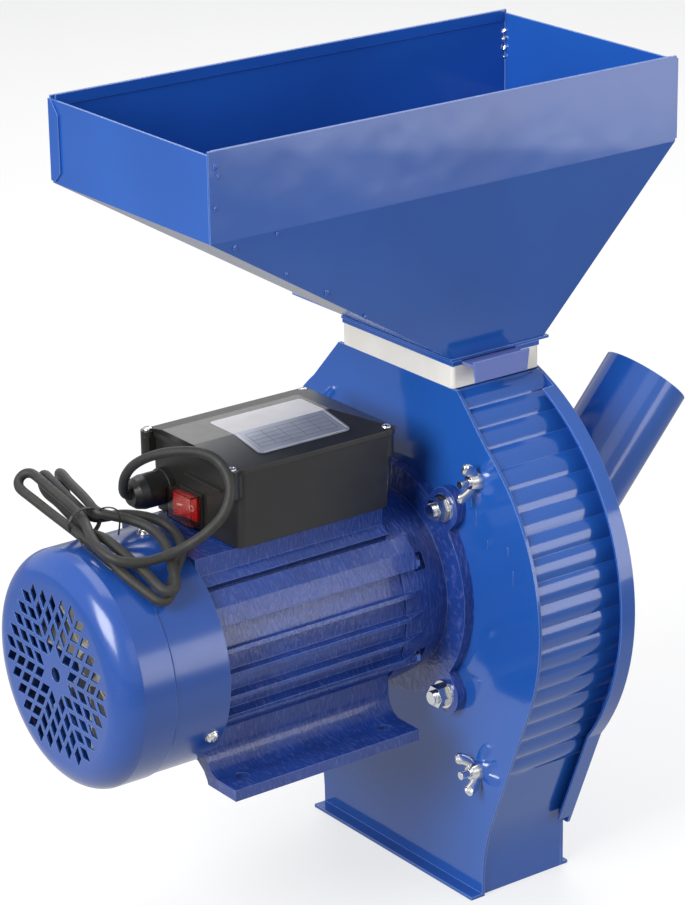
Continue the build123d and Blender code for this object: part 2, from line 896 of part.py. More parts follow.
with BuildPart() as hammer_spacers:
    for x0, x1 in ((151, hammer_x0 - 0.1), (hammer_x0 + hammer_thickness + 0.1, 181)):
        with BuildSketch(across(x0)):
            with Locations(*pin_places):
                Circle(8)
                Circle(pin_radius, mode=Mode.SUBTRACT)
        extrude(amount=x1 - x0)
write(hammer_spacers, "hammer_spacers")

for number, (y, z) in enumerate(pin_places, start=1):
    with BuildPart() as hammer:
        with BuildSketch(across(hammer_x0)):
            with Locations((y, z + hammer_eye - hammer_length / 2)):
                Rectangle(hammer_width, hammer_length)
            with Locations((y, z), (y, z + 2 * hammer_eye - hammer_length)):
                Circle(pin_radius + 0.06, mode=Mode.SUBTRACT)
        extrude(amount=hammer_thickness)
        chamfer(hammer.edges().filter_by(Axis.X).filter_by(GeomType.LINE), length=2)
    write(hammer, f"hammer_{number}")

with BuildPart() as rotor_bolt:
    with BuildSketch(across(190)):
        Circle(16)
    extrude(amount=3)
    with BuildSketch(across(193)):
        RegularPolygon(6.5, 6)
    extrude(amount=5.5)
    with BuildSketch(across(168)):
        Circle(3.4)
    extrude(amount=25)
write(rotor_bolt, "rotor_bolt")


# ================================================================ feed
neck_x0, neck_x1 = chamber_x0, cover_outer_x - 1
neck_z0, neck_z1 = shaft_height + chamber_top, 266.5
neck_wall = 8.0
gate_x0, gate_x1 = 137.8, 186.2
gate_z = 267.3
gate_sheet = 1.5
flange_sheet = 2.0
throat_bolt_places = [(x, y) for x in (134.3, 204) for y in (-58, 58)]

with BuildPart() as inlet_neck:
    with BuildSketch(Plane.XY.offset(neck_z0)):
        with Locations(((neck_x0 + neck_x1) / 2, 0)):
            RectangleRounded(neck_x1 - neck_x0, 2 * throat_half, 3)
            Rectangle(neck_x1 - neck_x0 - 2 * neck_wall, 2 * throat_half - 16, mode=Mode.SUBTRACT)
    extrude(amount=neck_z1 - neck_z0)
write(inlet_neck, "inlet_neck")

with BuildPart() as gate_rails:
    with BuildSketch(Plane.XY.offset(neck_z1)):
        with Locations(((neck_x0 + gate_x0 - 0.3) / 2, 0)):
            Rectangle(gate_x0 - 0.3 - neck_x0, 2 * throat_half)
        with Locations(((neck_x1 + gate_x1 + 0.3) / 2, 0)):
            Rectangle(neck_x1 - gate_x1 - 0.3, 2 * throat_half)
    extrude(amount=throat_z - neck_z1)
    with BuildSketch(Plane.XY.offset(neck_z1)):
        with Locations(*throat_bolt_places):
            Circle(2.5)
    extrude(amount=10, mode=Mode.SUBTRACT)
write(gate_rails, "gate_rails")

with BuildPart() as feed_gate:
    with BuildSketch(Plane.XY.offset(gate_z)):
        with BuildLine():
            Polyline(
                (gate_x0, -78),
                (gate_x1, -78),
                (gate_x1, 140),
                (gate_x1 - 12, 152),
                (gate_x0 + 12, 152),
                (gate_x0, 140),
                close=True,
            )
        make_face()
        with Locations(((gate_x0 + gate_x1) / 2, 106)):
            RectangleRounded(36, 74, 4, mode=Mode.SUBTRACT)
    extrude(amount=gate_sheet)
    with BuildSketch(Plane.XZ.offset(78)):
        with BuildLine():
            Polyline(
                (gate_x0 - 1, gate_z + gate_sheet + 3),
                (gate_x1 + 1, gate_z + gate_sheet + 3),
                (gate_x1 - 1, gate_z - 11),
                (gate_x0 + 1, gate_z - 11),
                close=True,
            )
        make_face()
    extrude(amount=gate_sheet)
write(feed_gate, "feed_gate")

with BuildPart() as throat_flange:
    with BuildSketch(Plane.XY.offset(throat_z)):
        with Locations(((throat_x0 + throat_x1) / 2, 0)):
            Rectangle(throat_x1 - throat_x0, 2 * throat_half)
        with Locations(((gate_x0 + gate_x1) / 2, 0)):
            Rectangle(gate_x1 - gate_x0, 2 * throat_half - 16, mode=Mode.SUBTRACT)
        with Locations(*throat_bolt_places):
            Circle(2.5, mode=Mode.SUBTRACT)
    extrude(amount=flange_sheet)
write(throat_flange, "throat_flange")

with BuildPart() as throat_bolts:
    with BuildSketch(Plane.XY.offset(throat_z + flange_sheet)):
        with Locations(*throat_bolt_places):
            Circle(3.2)
    extrude(amount=1.8, taper=15)
    with BuildSketch(Plane.XY.offset(neck_z1)):
        with Locations(*throat_bolt_places):
            Circle(2.5)
    extrude(amount=throat_z + flange_sheet - neck_z1)
write(throat_bolts, "throat_bolts")

hopper_x1 = hopper_x0 + hopper_length
hopper_half = hopper_width / 2
crease_z = hopper_top_z - hopper_strip
hopper_foot_z = throat_z + flange_sheet
hopper_foot_x0, hopper_foot_x1 = throat_x0 + 1, throat_x1 - 4
hopper_foot_half = throat_half - 1
end_step = 2.5  # the end plates stop this far below the long walls
hem = 8.0


def hopper_solid(inset):
    """Solid filling the hopper's outside, moved inwards by inset."""
    with BuildPart() as body:
        with BuildSketch(Plane.XY.offset(crease_z)):
            with Locations(((hopper_x0 + hopper_x1) / 2, 0)):
                Rectangle(hopper_length - 2 * inset, hopper_width - 2 * inset)
        extrude(amount=hopper_strip)
        with BuildSketch(Plane.XY.offset(crease_z)):
            with Locations(((hopper_x0 + hopper_x1) / 2, 0)):
                Rectangle(hopper_length - 2 * inset, hopper_width - 2 * inset)
        with BuildSketch(Plane.XY.offset(hopper_foot_z)):
            with Locations(((hopper_foot_x0 + hopper_foot_x1) / 2, 0)):
                Rectangle(
                    hopper_foot_x1 - hopper_foot_x0 - 2 * inset,
                    2 * hopper_foot_half - 2 * inset,
                )
        loft()
    return body.part


split_half = hopper_half - sheet  # the end plates stand between the long walls
foot_split_half = hopper_foot_half - sheet
past_foot = 1.18


def split_points(x_side, y_side):
    """Plan points of the joint between an end plate and a long wall, rim first."""
    x_rim, x_foot = (hopper_x0, hopper_foot_x0) if x_side < 0 else (hopper_x1, hopper_foot_x1)
    y_rim, y_foot = y_side * split_half, y_side * foot_split_half
    inner = (x_rim + past_foot * (x_foot - x_rim), y_rim + past_foot * (y_foot - y_rim))
    return (x_rim, y_rim), inner


def end_tile(x_side):
    """Plan outline that holds one end plate."""
    (x_rim, y_rim), (x_inner, y_inner) = split_points(x_side, 1)
    x_out = x_rim + 2 * x_side
    half_tile = [(x_out, y_rim), (x_rim, y_rim), (x_inner, y_inner)]
    return half_tile + [(x, -y) for x, y in reversed(half_tile)]


def wall_tile(y_side):
    """Plan outline that holds one long wall."""
    left_rim, left_inner = split_points(-1, y_side)
    right_rim, right_inner = split_points(1, y_side)
    y_out = y_side * (hopper_half + 2)
    return [
        (hopper_x0 - 2, left_rim[1]),
        left_rim,
        left_inner,
        right_inner,
        right_rim,
        (hopper_x1 + 2, right_rim[1]),
        (hopper_x1 + 2, y_out),
        (hopper_x0 - 2, y_out),
    ]


panels = {
    "hopper_front_panel": wall_tile(-1),
    "hopper_back_panel": wall_tile(1),
    "hopper_left_end": end_tile(-1),
    "hopper_right_end": end_tile(1),
}
hopper_outside = hopper_solid(0)
hopper_inside = hopper_solid(sheet)
for node, tile in panels.items():
    with BuildPart() as panel:
        add(hopper_outside)
        add(hopper_inside, mode=Mode.SUBTRACT)
        with BuildSketch(Plane.XY.offset(hopper_foot_z)):
            with BuildLine():
                Polyline(*tile, close=True)
            make_face()
        extrude(amount=hopper_top_z - hopper_foot_z, mode=Mode.INTERSECT)
        if node.endswith("_end"):
            with BuildSketch(Plane.XY.offset(hopper_top_z - end_step)):
                with Locations(((hopper_x0 + hopper_x1) / 2, 0)):
                    Rectangle(hopper_length + 10, hopper_width + 10)
            extrude(amount=end_step + 1, mode=Mode.SUBTRACT)
        else:
            side = -1 if "front" in node else 1
            with BuildSketch(Plane.XY.offset(hopper_top_z - hem)):
                with Locations(((hopper_x0 + hopper_x1) / 2, side * (hopper_half - sheet - 0.5))):
                    Rectangle(hopper_length - 2 * sheet - 4, 1)
            extrude(amount=hem)
            tab_x = hopper_x0 - sheet / 2 if side > 0 else hopper_x1 + sheet / 2
            with BuildSketch(Plane.YZ.offset(tab_x - sheet / 2)):
                with BuildLine():
                    Polyline(
                        (side * hopper_half, crease_z + 2),
                        (side * hopper_half, hopper_top_z - 2),
                        (side * (hopper_half - 3), hopper_top_z - 2),
                        (side * (hopper_half - 12), hopper_top_z - 12),
                        (side * (hopper_half - 12), crease_z + 9),
                        (side * (hopper_half - 5), crease_z + 2),
                        close=True,
                    )
                make_face()
            extrude(amount=sheet)
    write(panel, node)


# ================================================================ control box
wall = 2.5
box_draft_end, box_draft_side = 4.0, 3.0  # the walls lean out towards the lid
lid_x0, lid_x1 = box_x0 - 2, box_x1 + box_draft_end + 0.8
lid_half = box_half + box_draft_side + 0.8
lid_rim = 4.0
lid_top_z = 236.5
ridge_x0, ridge_x1 = -57.0, 60.0
ridge_y0, ridge_y1 = -12.5, 26.0
lug_radius = 5.0
lug_places = [(lid_x0 - 2, -box_half), (lid_x0 - 2, box_half)]
post_places = [(box_x1 - 1.5, -box_half + 2), (box_x1 - 1.5, box_half - 2)]
screw_places = lug_places + post_places
switch_y, switch_z = 4.5, 185.0
gland_y, gland_z = 36.0, 190.0
gland_thread = 8.0
hood_z = 207.5
hood_y0, hood_y1 = -36.0, 9.0
lid_mid_x = (lid_x0 + lid_x1) / 2

with BuildPart() as box_gasket:
    with BuildSketch(Plane.XY.offset(shaft_height + pad_height)):
        with Locations((10, 0)):
            RectangleRounded(100, 84, 4)
            Circle(9, mode=Mode.SUBTRACT)
    extrude(amount=1.5)
write(box_gasket, "box_gasket")


def box_block(z0, z1, inset):
    """Drafted block of the box between two heights, moved inwards by inset."""
    with BuildPart() as block:
        for z in (z0, z1):
            lean = (z - box_z0) / (box_z1 - box_z0)
            x0 = box_x0 + inset
            x1 = box_x1 + box_draft_end * lean - inset
            half = box_half + box_draft_side * lean - inset
            with BuildSketch(Plane.XY.offset(z)):
                with Locations(((x0 + x1) / 2, 0)):
                    RectangleRounded(x1 - x0, 2 * half, 6 - inset)
        loft()
    return block.part


lug_height = 16.0
with BuildPart() as terminal_box_base:
    add(box_block(box_z0, box_z1, 0))
    with BuildSketch(Plane.XY.offset(box_z1 - lug_height)):
        with Locations(*lug_places):
            Circle(lug_radius)
        with Locations((lid_x0, -box_half + 1), (lid_x0, box_half - 1)):
            Rectangle(9, 8)
    extrude(amount=lug_height)
    with BuildSketch(Plane.YZ.offset(box_x0 + 1)):
        with Locations(((hood_y0 + hood_y1) / 2, hood_z)):
            Rectangle(hood_y1 - hood_y0, 4)
    extrude(amount=-4.5, taper=15)
    add(box_block(box_z0 + 3, box_z1, wall), mode=Mode.SUBTRACT)
    with BuildSketch(Plane.XY.offset(box_z1 - lug_height)):
        with Locations(*post_places):
            Circle(lug_radius)
    extrude(amount=lug_height)
    with BuildSketch(Plane.YZ.offset(box_x0 - 1)):
        with Locations((switch_y, switch_z)):
            Rectangle(28.4, 21)
        with Locations((gland_y, gland_z)):
            Circle(gland_thread)
    extrude(amount=wall + 2, mode=Mode.SUBTRACT)
    with BuildSketch(Plane.XY.offset(box_z0 - 1)):
        with Locations((10, 0)):
            Circle(9)
    extrude(amount=6, mode=Mode.SUBTRACT)
    with BuildSketch(Plane.XY.offset(box_z1 - 14)):
        with Locations(*screw_places):
            Circle(1.6)
    extrude(amount=15, mode=Mode.SUBTRACT)
write(terminal_box_base, "terminal_box_base")


def lid_block(inset):
    """Hipped block of the lid, moved inwards by inset."""
    with BuildPart() as block:
        with BuildSketch(Plane.XY.offset(box_z1)):
            with Locations((lid_mid_x, 0)):
                RectangleRounded(lid_x1 - lid_x0 - 2 * inset, 2 * (lid_half - inset), 6 - inset)
        extrude(amount=lid_rim)
        with BuildSketch(Plane.XY.offset(box_z1 + lid_rim)):
            with Locations((lid_mid_x, 0)):
                Rectangle(lid_x1 - lid_x0 - 2 * inset, 2 * (lid_half - inset))
        with BuildSketch(Plane.XY.offset(lid_top_z - inset)):
            with Locations(((ridge_x0 + ridge_x1) / 2, (ridge_y0 + ridge_y1) / 2)):
                Rectangle(ridge_x1 - ridge_x0 - 2 * inset, ridge_y1 - ridge_y0 - 2 * inset)
        loft()
    return block.part


with BuildPart() as terminal_box_lid:
    add(lid_block(0))
    with BuildSketch(Plane.XY.offset(box_z1)):
        with Locations(*lug_places):
            Circle(lug_radius)
    extrude(amount=lid_rim)
    add(lid_block(wall), mode=Mode.SUBTRACT)
    with BuildSketch(Plane.XY.offset(box_z1)):
        with Locations(*post_places):
            Circle(lug_radius)
    extrude(amount=lid_rim)
    with BuildSketch(Plane.XY.offset(box_z1)):
        with Locations(*screw_places):
            Circle(2)
    extrude(amount=lid_rim, mode=Mode.SUBTRACT)
    with BuildSketch(Plane.XY.offset(box_z1 + lid_rim)):
        with Locations(*screw_places):
            Circle(4)
    extrude(amount=6, mode=Mode.SUBTRACT)
write(terminal_box_lid, "terminal_box_lid")

with BuildPart() as lid_screws:
    with BuildSketch(Plane.XY.offset(box_z1 + lid_rim)):
        with Locations(*screw_places):
            Circle(3.6)
    extrude(amount=2.2, taper=20)
    with BuildSketch(Plane.XY.offset(box_z1 - 12)):
        with Locations(*screw_places):
            Circle(1.6)
    extrude(amount=12 + lid_rim)
write(lid_screws, "lid_screws")

capacitor_x = 8.0
with BuildPart() as capacitors:
    for y, radius, length in ((-26.0, 19.5, 62.0), (26.0, 18.0, 66.0)):
        axis_z = box_z0 + 3 + radius
        with BuildSketch(Plane.YZ.offset(capacitor_x)):
            with Locations((y, axis_z)):
                Circle(radius)
        extrude(amount=length)
        with BuildSketch(Plane.YZ.offset(capacitor_x)):
            with Locations((y - 6, axis_z), (y + 6, axis_z)):
                Rectangle(1, 6)
        extrude(amount=-7)
write(capacitors, "capacitors")

with BuildPart() as terminal_block:
    with BuildSketch(Plane.XY.offset(box_z0 + 3)):
        with Locations((-12, 4)):
            Rectangle(13, 62)
    extrude(amount=10)
    with BuildSketch(Plane.XY.offset(box_z0 + 13)):
        with Locations((-12, 4)):
            with GridLocations(1, 15, 1, 4):
                Circle(4)
    extrude(amount=4)
write(terminal_block, "terminal_block")

bezel_x = box_x0 - 2.5
with BuildPart() as switch_body:
    with BuildSketch(Plane.YZ.offset(bezel_x)):
        with Locations((switch_y, switch_z)):
            RectangleRounded(31, 24, 1)
    extrude(amount=2.5)
    with BuildSketch(Plane.YZ.offset(box_x0)):
        with Locations((switch_y, switch_z)):
            Rectangle(28, 20.6)
    extrude(amount=22)
    with BuildSketch(Plane.YZ.offset(bezel_x)):
        with Locations((switch_y, switch_z)):
            Rectangle(26.4, 18)
    extrude(amount=13, mode=Mode.SUBTRACT)
    with BuildSketch(Plane.XY.offset(switch_z)):
        with Locations((box_x0 + 1, switch_y)):
            Circle(1.5)
    extrude(amount=10, both=True, mode=Mode.SUBTRACT)
write(switch_body, "switch_body")

rocker_pivot_x = box_x0 + 1
with BuildPart() as switch_rocker:
    with BuildSketch(Plane.XY.offset(switch_z)):
        with BuildLine():
            Polyline(
                (bezel_x - 5.5, switch_y + 11),
                (bezel_x - 2, switch_y),
                (bezel_x - 1.6, switch_y - 12),
                (rocker_pivot_x - 1, switch_y - 11),
                (rocker_pivot_x + 3.5, switch_y),
                (rocker_pivot_x - 2, switch_y + 9.5),
                close=True,
            )
        make_face()
    extrude(amount=8.6, both=True)
    with BuildSketch(Plane.XY.offset(switch_z)):
        with Locations((rocker_pivot_x, switch_y)):
            Circle(1.44)
    extrude(amount=9.8, both=True)
write(switch_rocker, "switch_rocker")

with BuildPart() as switch_boot:
    with BuildSketch(Plane.YZ.offset(bezel_x)):
        with Locations((switch_y, switch_z)):
            RectangleRounded(30, 22.4, 1.5)
    extrude(amount=-8.6)
    with BuildSketch(Plane.YZ.offset(bezel_x)):
        with Locations((switch_y, switch_z)):
            Rectangle(28.6, 21)
    extrude(amount=-7.9, mode=Mode.SUBTRACT)
write(switch_boot, "switch_boot")

gland_end_x = -79.0
with BuildPart() as cable_gland:
    gland_line = Plane(origin=(0, gland_y, gland_z), x_dir=(1, 0, 0), z_dir=(0, -1, 0))
    with BuildSketch(gland_line):
        with BuildLine():
            Polyline(
                (box_x0 + 8, cord_radius),
                (box_x0 + 8, 11),
                (box_x0 + wall, 11),
                (box_x0 + wall, gland_thread),
                (box_x0, gland_thread),
                (box_x0, 13.5),
                (box_x0 - 5, 13.5),
                (box_x0 - 5, 12.5),
                (gland_end_x + 10, 12.5),
                (gland_end_x + 4, 11),
                (gland_end_x, 8),
                (gland_end_x, cord_radius),
                close=True,
            )
        make_face()
    revolve(axis=Axis((0, gland_y, gland_z), (1, 0, 0)))
write(cable_gland, "cable_gland")


# ================================================================ mains lead
def cord_tube(points, node):
    """Round tube along straight runs with the largest tangent arcs they allow."""
    vectors = [Vector(*p) for p in points]
    radii = []
    for a, b, c in zip(vectors, vectors[1:], vectors[2:]):
        turn = (b - a).get_angle(c - b)
        shorter = min((b - a).length, (c - b).length)
        radii.append(0.45 * shorter / tan(radians(turn / 2)))
    print(node, "radii", [round(r) for r in radii])
    with BuildPart() as tube:
        with BuildLine() as route:
            FilletPolyline(*points, radius=radii)
        start = vectors[0]
        heading = (vectors[1] - vectors[0]).normalized()
        with BuildSketch(Plane(origin=start, z_dir=heading)):
            Circle(cord_radius)
        sweep()
    length = sum(edge.length for edge in route.edges())
    ratio = tube.part.volume / (length * pi * cord_radius**2)
    print(node, "length", round(length), "volume ratio", round(ratio, 4))
    write(tube, node)
    return tube.part


loop_points = [
    (gland_end_x, gland_y, gland_z),
    (-87, gland_y, 192),
    (-91, 29, 206),
    (-88, 10, 226),
    (-79, -12, 238),
    (-68, -36, 243),
    (-62, -58, 236),
    (-64, -71, 219),
    (-73, -71, 203),
    (-86, -61, 189),
    (-101, -51, 181),
    (-118, -45, 178),
]
power_cord = cord_tube(loop_points, "power_cord")

plug_y, plug_z = 81.5, 26.5
plug_x = -33.0
tail_points = [
    (-113, 62, 201.5),
    (-109, 80, 202),
    (-102, 93, 192),
    (-95, 94, 173),
    (-88, 89, 151),
    (-84, 88, 126),
    (-84, 91.5, 101),
    (-84.5, 94, 78),
    (-84, 93, 56),
    (-73, 87.5, 37),
    (-55, plug_y, plug_z),
    (plug_x, plug_y, plug_z),
]
cord_tail = cord_tube(tail_points, "cord_tail")

hank_inner, hank_outer = 88.8, 106.0
waist_x, waist_z = -129.5, 188.5
waist_width, waist_height = 24.0, 19.0
waist_y = 14.0
hank_edge = [
    (waist_x + waist_width / 2, waist_y),
    (-100, 18),
    (-80, 9),
    (-71.5, -6),
    (-74, -24),
    (-86, -42),
    (-102, -58),
    (-113, -69),
    (-123, -72.5),
    (-134, -64),
    (-143, -48),
    (-147.5, -28),
    (-145, -8),
    (waist_x - waist_width / 2, waist_y),
]
hank_rear_y = 82.0
rear_x, rear_z = -124.5, 203.3
rear_width, rear_height = 41.5, 17.0
with BuildPart() as cord_tie:
    with BuildSketch(Plane.XZ.offset(-waist_y - 3)):
        with Locations((waist_x, waist_z)):
            RectangleRounded(waist_width + 2.6, waist_height + 2.6, 5)
            RectangleRounded(waist_width - 0.6, waist_height - 0.6, 4, mode=Mode.SUBTRACT)
    extrude(amount=3)
write(cord_tie, "cord_tie")

with BuildPart() as cord_hank:
    with BuildSketch(Plane.XY.offset(shaft_height + 20)):
        with BuildLine():
            front_edge = Spline(*hank_edge)
            Line(front_edge @ 1, front_edge @ 0)
        make_face()
    extrude(amount=120)
    with BuildSketch(across(-160)):
        Circle(hank_outer)
        Circle(hank_inner, mode=Mode.SUBTRACT)
    extrude(amount=100, mode=Mode.INTERSECT)
    with BuildSketch(Plane.XZ.offset(-waist_y)):
        with Locations((waist_x, waist_z)):
            RectangleRounded(waist_width, waist_height, 4)
    with BuildSketch(Plane.XZ.offset(-hank_rear_y)):
        with Locations((rear_x, rear_z)):
            RectangleRounded(rear_width, rear_height, 4)
    loft()
    for neighbour in (power_cord, cord_tail, cord_tie.part):
        add(neighbour, mode=Mode.SUBTRACT)
write(cord_hank, "cord_hank")

plug_radius = 18.0
plug_face_x = plug_x + 58
plug_line = Plane(origin=(0, plug_y, plug_z), x_dir=(1, 0, 0), z_dir=(0, -1, 0))
plug_axis = Axis((0, plug_y, plug_z), (1, 0, 0))
pin_length, contact_spacing, contact_radius = 19.0, 19.0, 2.4
with BuildPart() as plug_body:
    with BuildSketch(plug_line):
        with BuildLine():
            neck = Polyline((plug_x, 0), (plug_x, cord_radius + 1), (plug_x + 22, 7))
            shoulder = ThreePointArc(neck @ 1, (plug_x + 30, 13), (plug_x + 38, plug_radius))
            Polyline(
                shoulder @ 1,
                (plug_face_x - 1.5, plug_radius),
                (plug_face_x, plug_radius - 1.5),
                (plug_face_x, 0),
                (plug_x, 0),
            )
        make_face()
    revolve(axis=plug_axis)
write(plug_body, "plug_body")

with BuildPart() as plug_pins:
    with BuildSketch(Plane.YZ.offset(plug_face_x)):
        with Locations((plug_y - contact_spacing / 2, plug_z), (plug_y + contact_spacing / 2, plug_z)):
            Circle(contact_radius)
    extrude(amount=pin_length)
    fillet(plug_pins.edges().group_by(Axis.X)[-1], radius=1.2)
write(plug_pins, "plug_pins")
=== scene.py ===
"""Looks of the electric grain mill: finishes, mains lead, label, switch marks, fasteners and studio."""
import json
import math

import bmesh
import bpy
from mathutils import Matrix, Vector


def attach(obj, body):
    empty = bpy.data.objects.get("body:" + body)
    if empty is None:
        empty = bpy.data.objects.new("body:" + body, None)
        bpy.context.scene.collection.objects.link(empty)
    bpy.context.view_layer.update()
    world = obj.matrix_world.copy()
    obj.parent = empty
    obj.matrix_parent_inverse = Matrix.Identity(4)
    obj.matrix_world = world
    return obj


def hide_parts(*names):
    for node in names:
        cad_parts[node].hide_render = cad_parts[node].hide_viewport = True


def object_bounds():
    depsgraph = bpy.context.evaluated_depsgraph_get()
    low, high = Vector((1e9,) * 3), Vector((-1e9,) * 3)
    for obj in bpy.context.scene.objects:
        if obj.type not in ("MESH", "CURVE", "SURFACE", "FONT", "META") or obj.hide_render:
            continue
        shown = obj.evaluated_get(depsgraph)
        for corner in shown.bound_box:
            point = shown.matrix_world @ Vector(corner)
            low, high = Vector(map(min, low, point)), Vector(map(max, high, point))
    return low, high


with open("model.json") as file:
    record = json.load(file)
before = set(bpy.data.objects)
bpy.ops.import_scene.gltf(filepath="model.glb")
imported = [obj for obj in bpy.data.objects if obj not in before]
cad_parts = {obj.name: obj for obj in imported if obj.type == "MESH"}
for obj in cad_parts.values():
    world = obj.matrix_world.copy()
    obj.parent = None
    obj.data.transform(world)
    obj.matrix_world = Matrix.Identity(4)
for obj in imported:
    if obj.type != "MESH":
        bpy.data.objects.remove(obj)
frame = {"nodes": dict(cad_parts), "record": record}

cad_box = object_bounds()
nodes = frame["nodes"]
scene = bpy.context.scene
MM = 0.001

# ---------------------------------------------------------------- places known from the frame
FLOOR_Z = cad_box[0][2]


def linear(hex_colour):
    """Linear RGBA of an sRGB colour written as rrggbb."""
    channels = [int(hex_colour[i : i + 2], 16) / 255 for i in (0, 2, 4)]
    return [c / 12.92 if c <= 0.04045 else ((c + 0.055) / 1.055) ** 2.4 for c in channels] + [1.0]


# ================================================================ materials
class Finish:
    """A Principled material whose parts are added one by one."""

    def __init__(self, name, colour, roughness, metallic=0.0):
        self.material = bpy.data.materials.new(name)
        self.material.use_nodes = True
        self.tree = self.material.node_tree
        self.shader = self.tree.nodes["Principled BSDF"]
        self.shader.inputs["Metallic"].default_value = metallic
        self.shader.inputs["Roughness"].default_value = roughness
        self.base = linear(colour)
        self.shader.inputs["Base Color"].default_value = self.base
        self.place = self.add("ShaderNodeTexCoord").outputs["Object"]
        self.colour = None
        self.normal = None

    def add(self, kind, **values):
        node = self.tree.nodes.new(kind)
        for key, value in values.items():
            setattr(node, key, value)
        return node

    def link(self, output, target):
        self.tree.links.new(output, target)

    def set(self, **values):
        for key, value in values.items():
            self.shader.inputs[key.replace("_", " ")].default_value = value
        return self

    def noise(self, scale, detail=3.0, stretch=None, roughness=0.55):
        texture = self.add("ShaderNodeTexNoise")
        texture.inputs["Scale"].default_value = scale
        texture.inputs["Detail"].default_value = detail
        texture.inputs["Roughness"].default_value = roughness
        place = self.place
        if stretch:
            mapping = self.add("ShaderNodeMapping")
            mapping.inputs["Scale"].default_value = stretch
            self.link(place, mapping.inputs["Vector"])
            place = mapping.outputs["Vector"]
        self.link(place, texture.inputs["Vector"])
        return texture.outputs["Fac"]

    def ramp(self, value, low, high):
        """Value mapped so that low gives 0 and high gives 1, clamped."""
        node = self.add("ShaderNodeMapRange")
        node.inputs["From Min"].default_value = low
        node.inputs["From Max"].default_value = high
        self.link(value, node.inputs["Value"])
        return node.outputs["Result"]

    def tint(self, mask, colour, amount=1.0):
        """Mix another colour in where the mask is high."""
        scaled = self.add("ShaderNodeMath", operation="MULTIPLY")
        scaled.inputs[1].default_value = amount
        self.link(mask, scaled.inputs[0])
        mix = self.add("ShaderNodeMix", data_type="RGBA")
        self.link(scaled.outputs[0], mix.inputs["Factor"])
        if self.colour is None:
            mix.inputs["A"].default_value = self.base
        else:
            self.link(self.colour, mix.inputs["A"])
        mix.inputs["B"].default_value = linear(colour)
        self.colour = mix.outputs["Result"]
        self.link(self.colour, self.shader.inputs["Base Color"])
        return self

    def rough(self, mask, low, high, edge=None):
        """Roughness between two values where the mask goes, and a half on worn edges."""
        node = self.add("ShaderNodeMapRange")
        node.inputs["To Min"].default_value = low
        node.inputs["To Max"].default_value = high
        self.link(mask, node.inputs["Value"])
        value = node.outputs["Result"]
        if edge is not None:
            mix = self.add("ShaderNodeMix", data_type="FLOAT")
            self.link(edge, mix.inputs["Factor"])
            self.link(value, mix.inputs["A"])
            mix.inputs["B"].default_value = 0.5
            value = mix.outputs["Result"]
        self.link(value, self.shader.inputs["Roughness"])
        return self

    def soft_edges(self, radius):
        """Shade edges as if rounded; returns a mask that is high on edges."""
        bevel = self.add("ShaderNodeBevel", samples=6)
        bevel.inputs["Radius"].default_value = radius
        self.normal = bevel.outputs["Normal"]
        self.link(self.normal, self.shader.inputs["Normal"])
        geometry = self.add("ShaderNodeNewGeometry")
        dot = self.add("ShaderNodeVectorMath", operation="DOT_PRODUCT")
        self.link(self.normal, dot.inputs[0])
        self.link(geometry.outputs["Normal"], dot.inputs[1])
        flat_cosine, edge_cosine = 0.995, 0.86
        return self.ramp(dot.outputs["Value"], flat_cosine, edge_cosine)

    def bump(self, height, distance):
        node = self.add("ShaderNodeBump")
        node.inputs["Distance"].default_value = distance
        node.inputs["Strength"].default_value = 1.0
        self.link(height, node.inputs["Height"])
        if self.normal is not None:
            self.link(self.normal, node.inputs["Normal"])
        self.normal = node.outputs["Normal"]
        self.link(self.normal, self.shader.inputs["Normal"])
        return self


def sheet_enamel(name="blue_enamel", colour="235ab0", shade="1f50a2"):
    """Glossy blue enamel on welded sheet: slow ripples, orange peel, and edges rougher as if worn and painted
    pale as a highlight.
    """
    finish = Finish(name, colour, 0.1)
    edge = finish.soft_edges(0.8 * MM)
    finish.set(Coat_Weight=0.25, Coat_Roughness=0.04)
    finish.tint(finish.ramp(finish.noise(7, 2), 0.4, 0.68), shade, 0.7)
    finish.tint(finish.ramp(finish.noise(420, 2), 0.68, 0.78), "3a6cc4", 0.3)
    # pale blue on every edge is a painted highlight
    finish.tint(edge, "86a9ee", 0.7)
    finish.rough(finish.noise(40, 3), 0.07, 0.17, edge=edge)
    finish.bump(finish.noise(14, 2), 0.7 * MM)
    finish.bump(finish.noise(700, 2), 0.018 * MM)
    return finish.material


def hammered_enamel():
    """Blue hammer finish on the cast and extruded motor, its wrinkles running round the housing."""
    finish = Finish("motor_enamel", "204394", 0.2)
    edge = finish.soft_edges(0.9 * MM)
    finish.set(Coat_Weight=0.3, Coat_Roughness=0.1)
    finish.tint(finish.ramp(finish.noise(30, 3), 0.4, 0.65), "1b3880", 0.8)
    wrinkles = finish.noise(150, 3, (3.6, 1, 1), roughness=0.6)
    # pale lavender on the wrinkle crests is a painted reflection
    finish.tint(finish.ramp(wrinkles, 0.52, 0.68), "5a66aa", 0.5)
    # pale blue on the edges is a painted highlight
    finish.tint(edge, "6a86cb", 0.55)
    finish.rough(finish.noise(160, 3), 0.14, 0.3)
    finish.bump(wrinkles, 1.1 * MM)
    finish.bump(finish.noise(900, 2), 0.05 * MM)
    return finish.material


def satin_enamel():
    """Half-gloss blue enamel on the drawn fan cover."""
    finish = Finish("cover_enamel", "204d9e", 0.22)
    edge = finish.soft_edges(0.7 * MM)
    finish.set(Coat_Weight=0.25, Coat_Roughness=0.12)
    finish.tint(finish.ramp(finish.noise(10, 2), 0.4, 0.68), "1d4894", 0.7)
    finish.tint(finish.ramp(finish.noise(600, 2), 0.66, 0.76), "3c70c8", 0.25)
    # pale blue on the edges is a painted highlight
    finish.tint(edge, "8db0ea", 0.6)
    finish.rough(finish.noise(60, 3), 0.16, 0.28)
    finish.bump(finish.noise(9, 2), 0.5 * MM)
    finish.bump(finish.noise(800, 2), 0.02 * MM)
    return finish.material


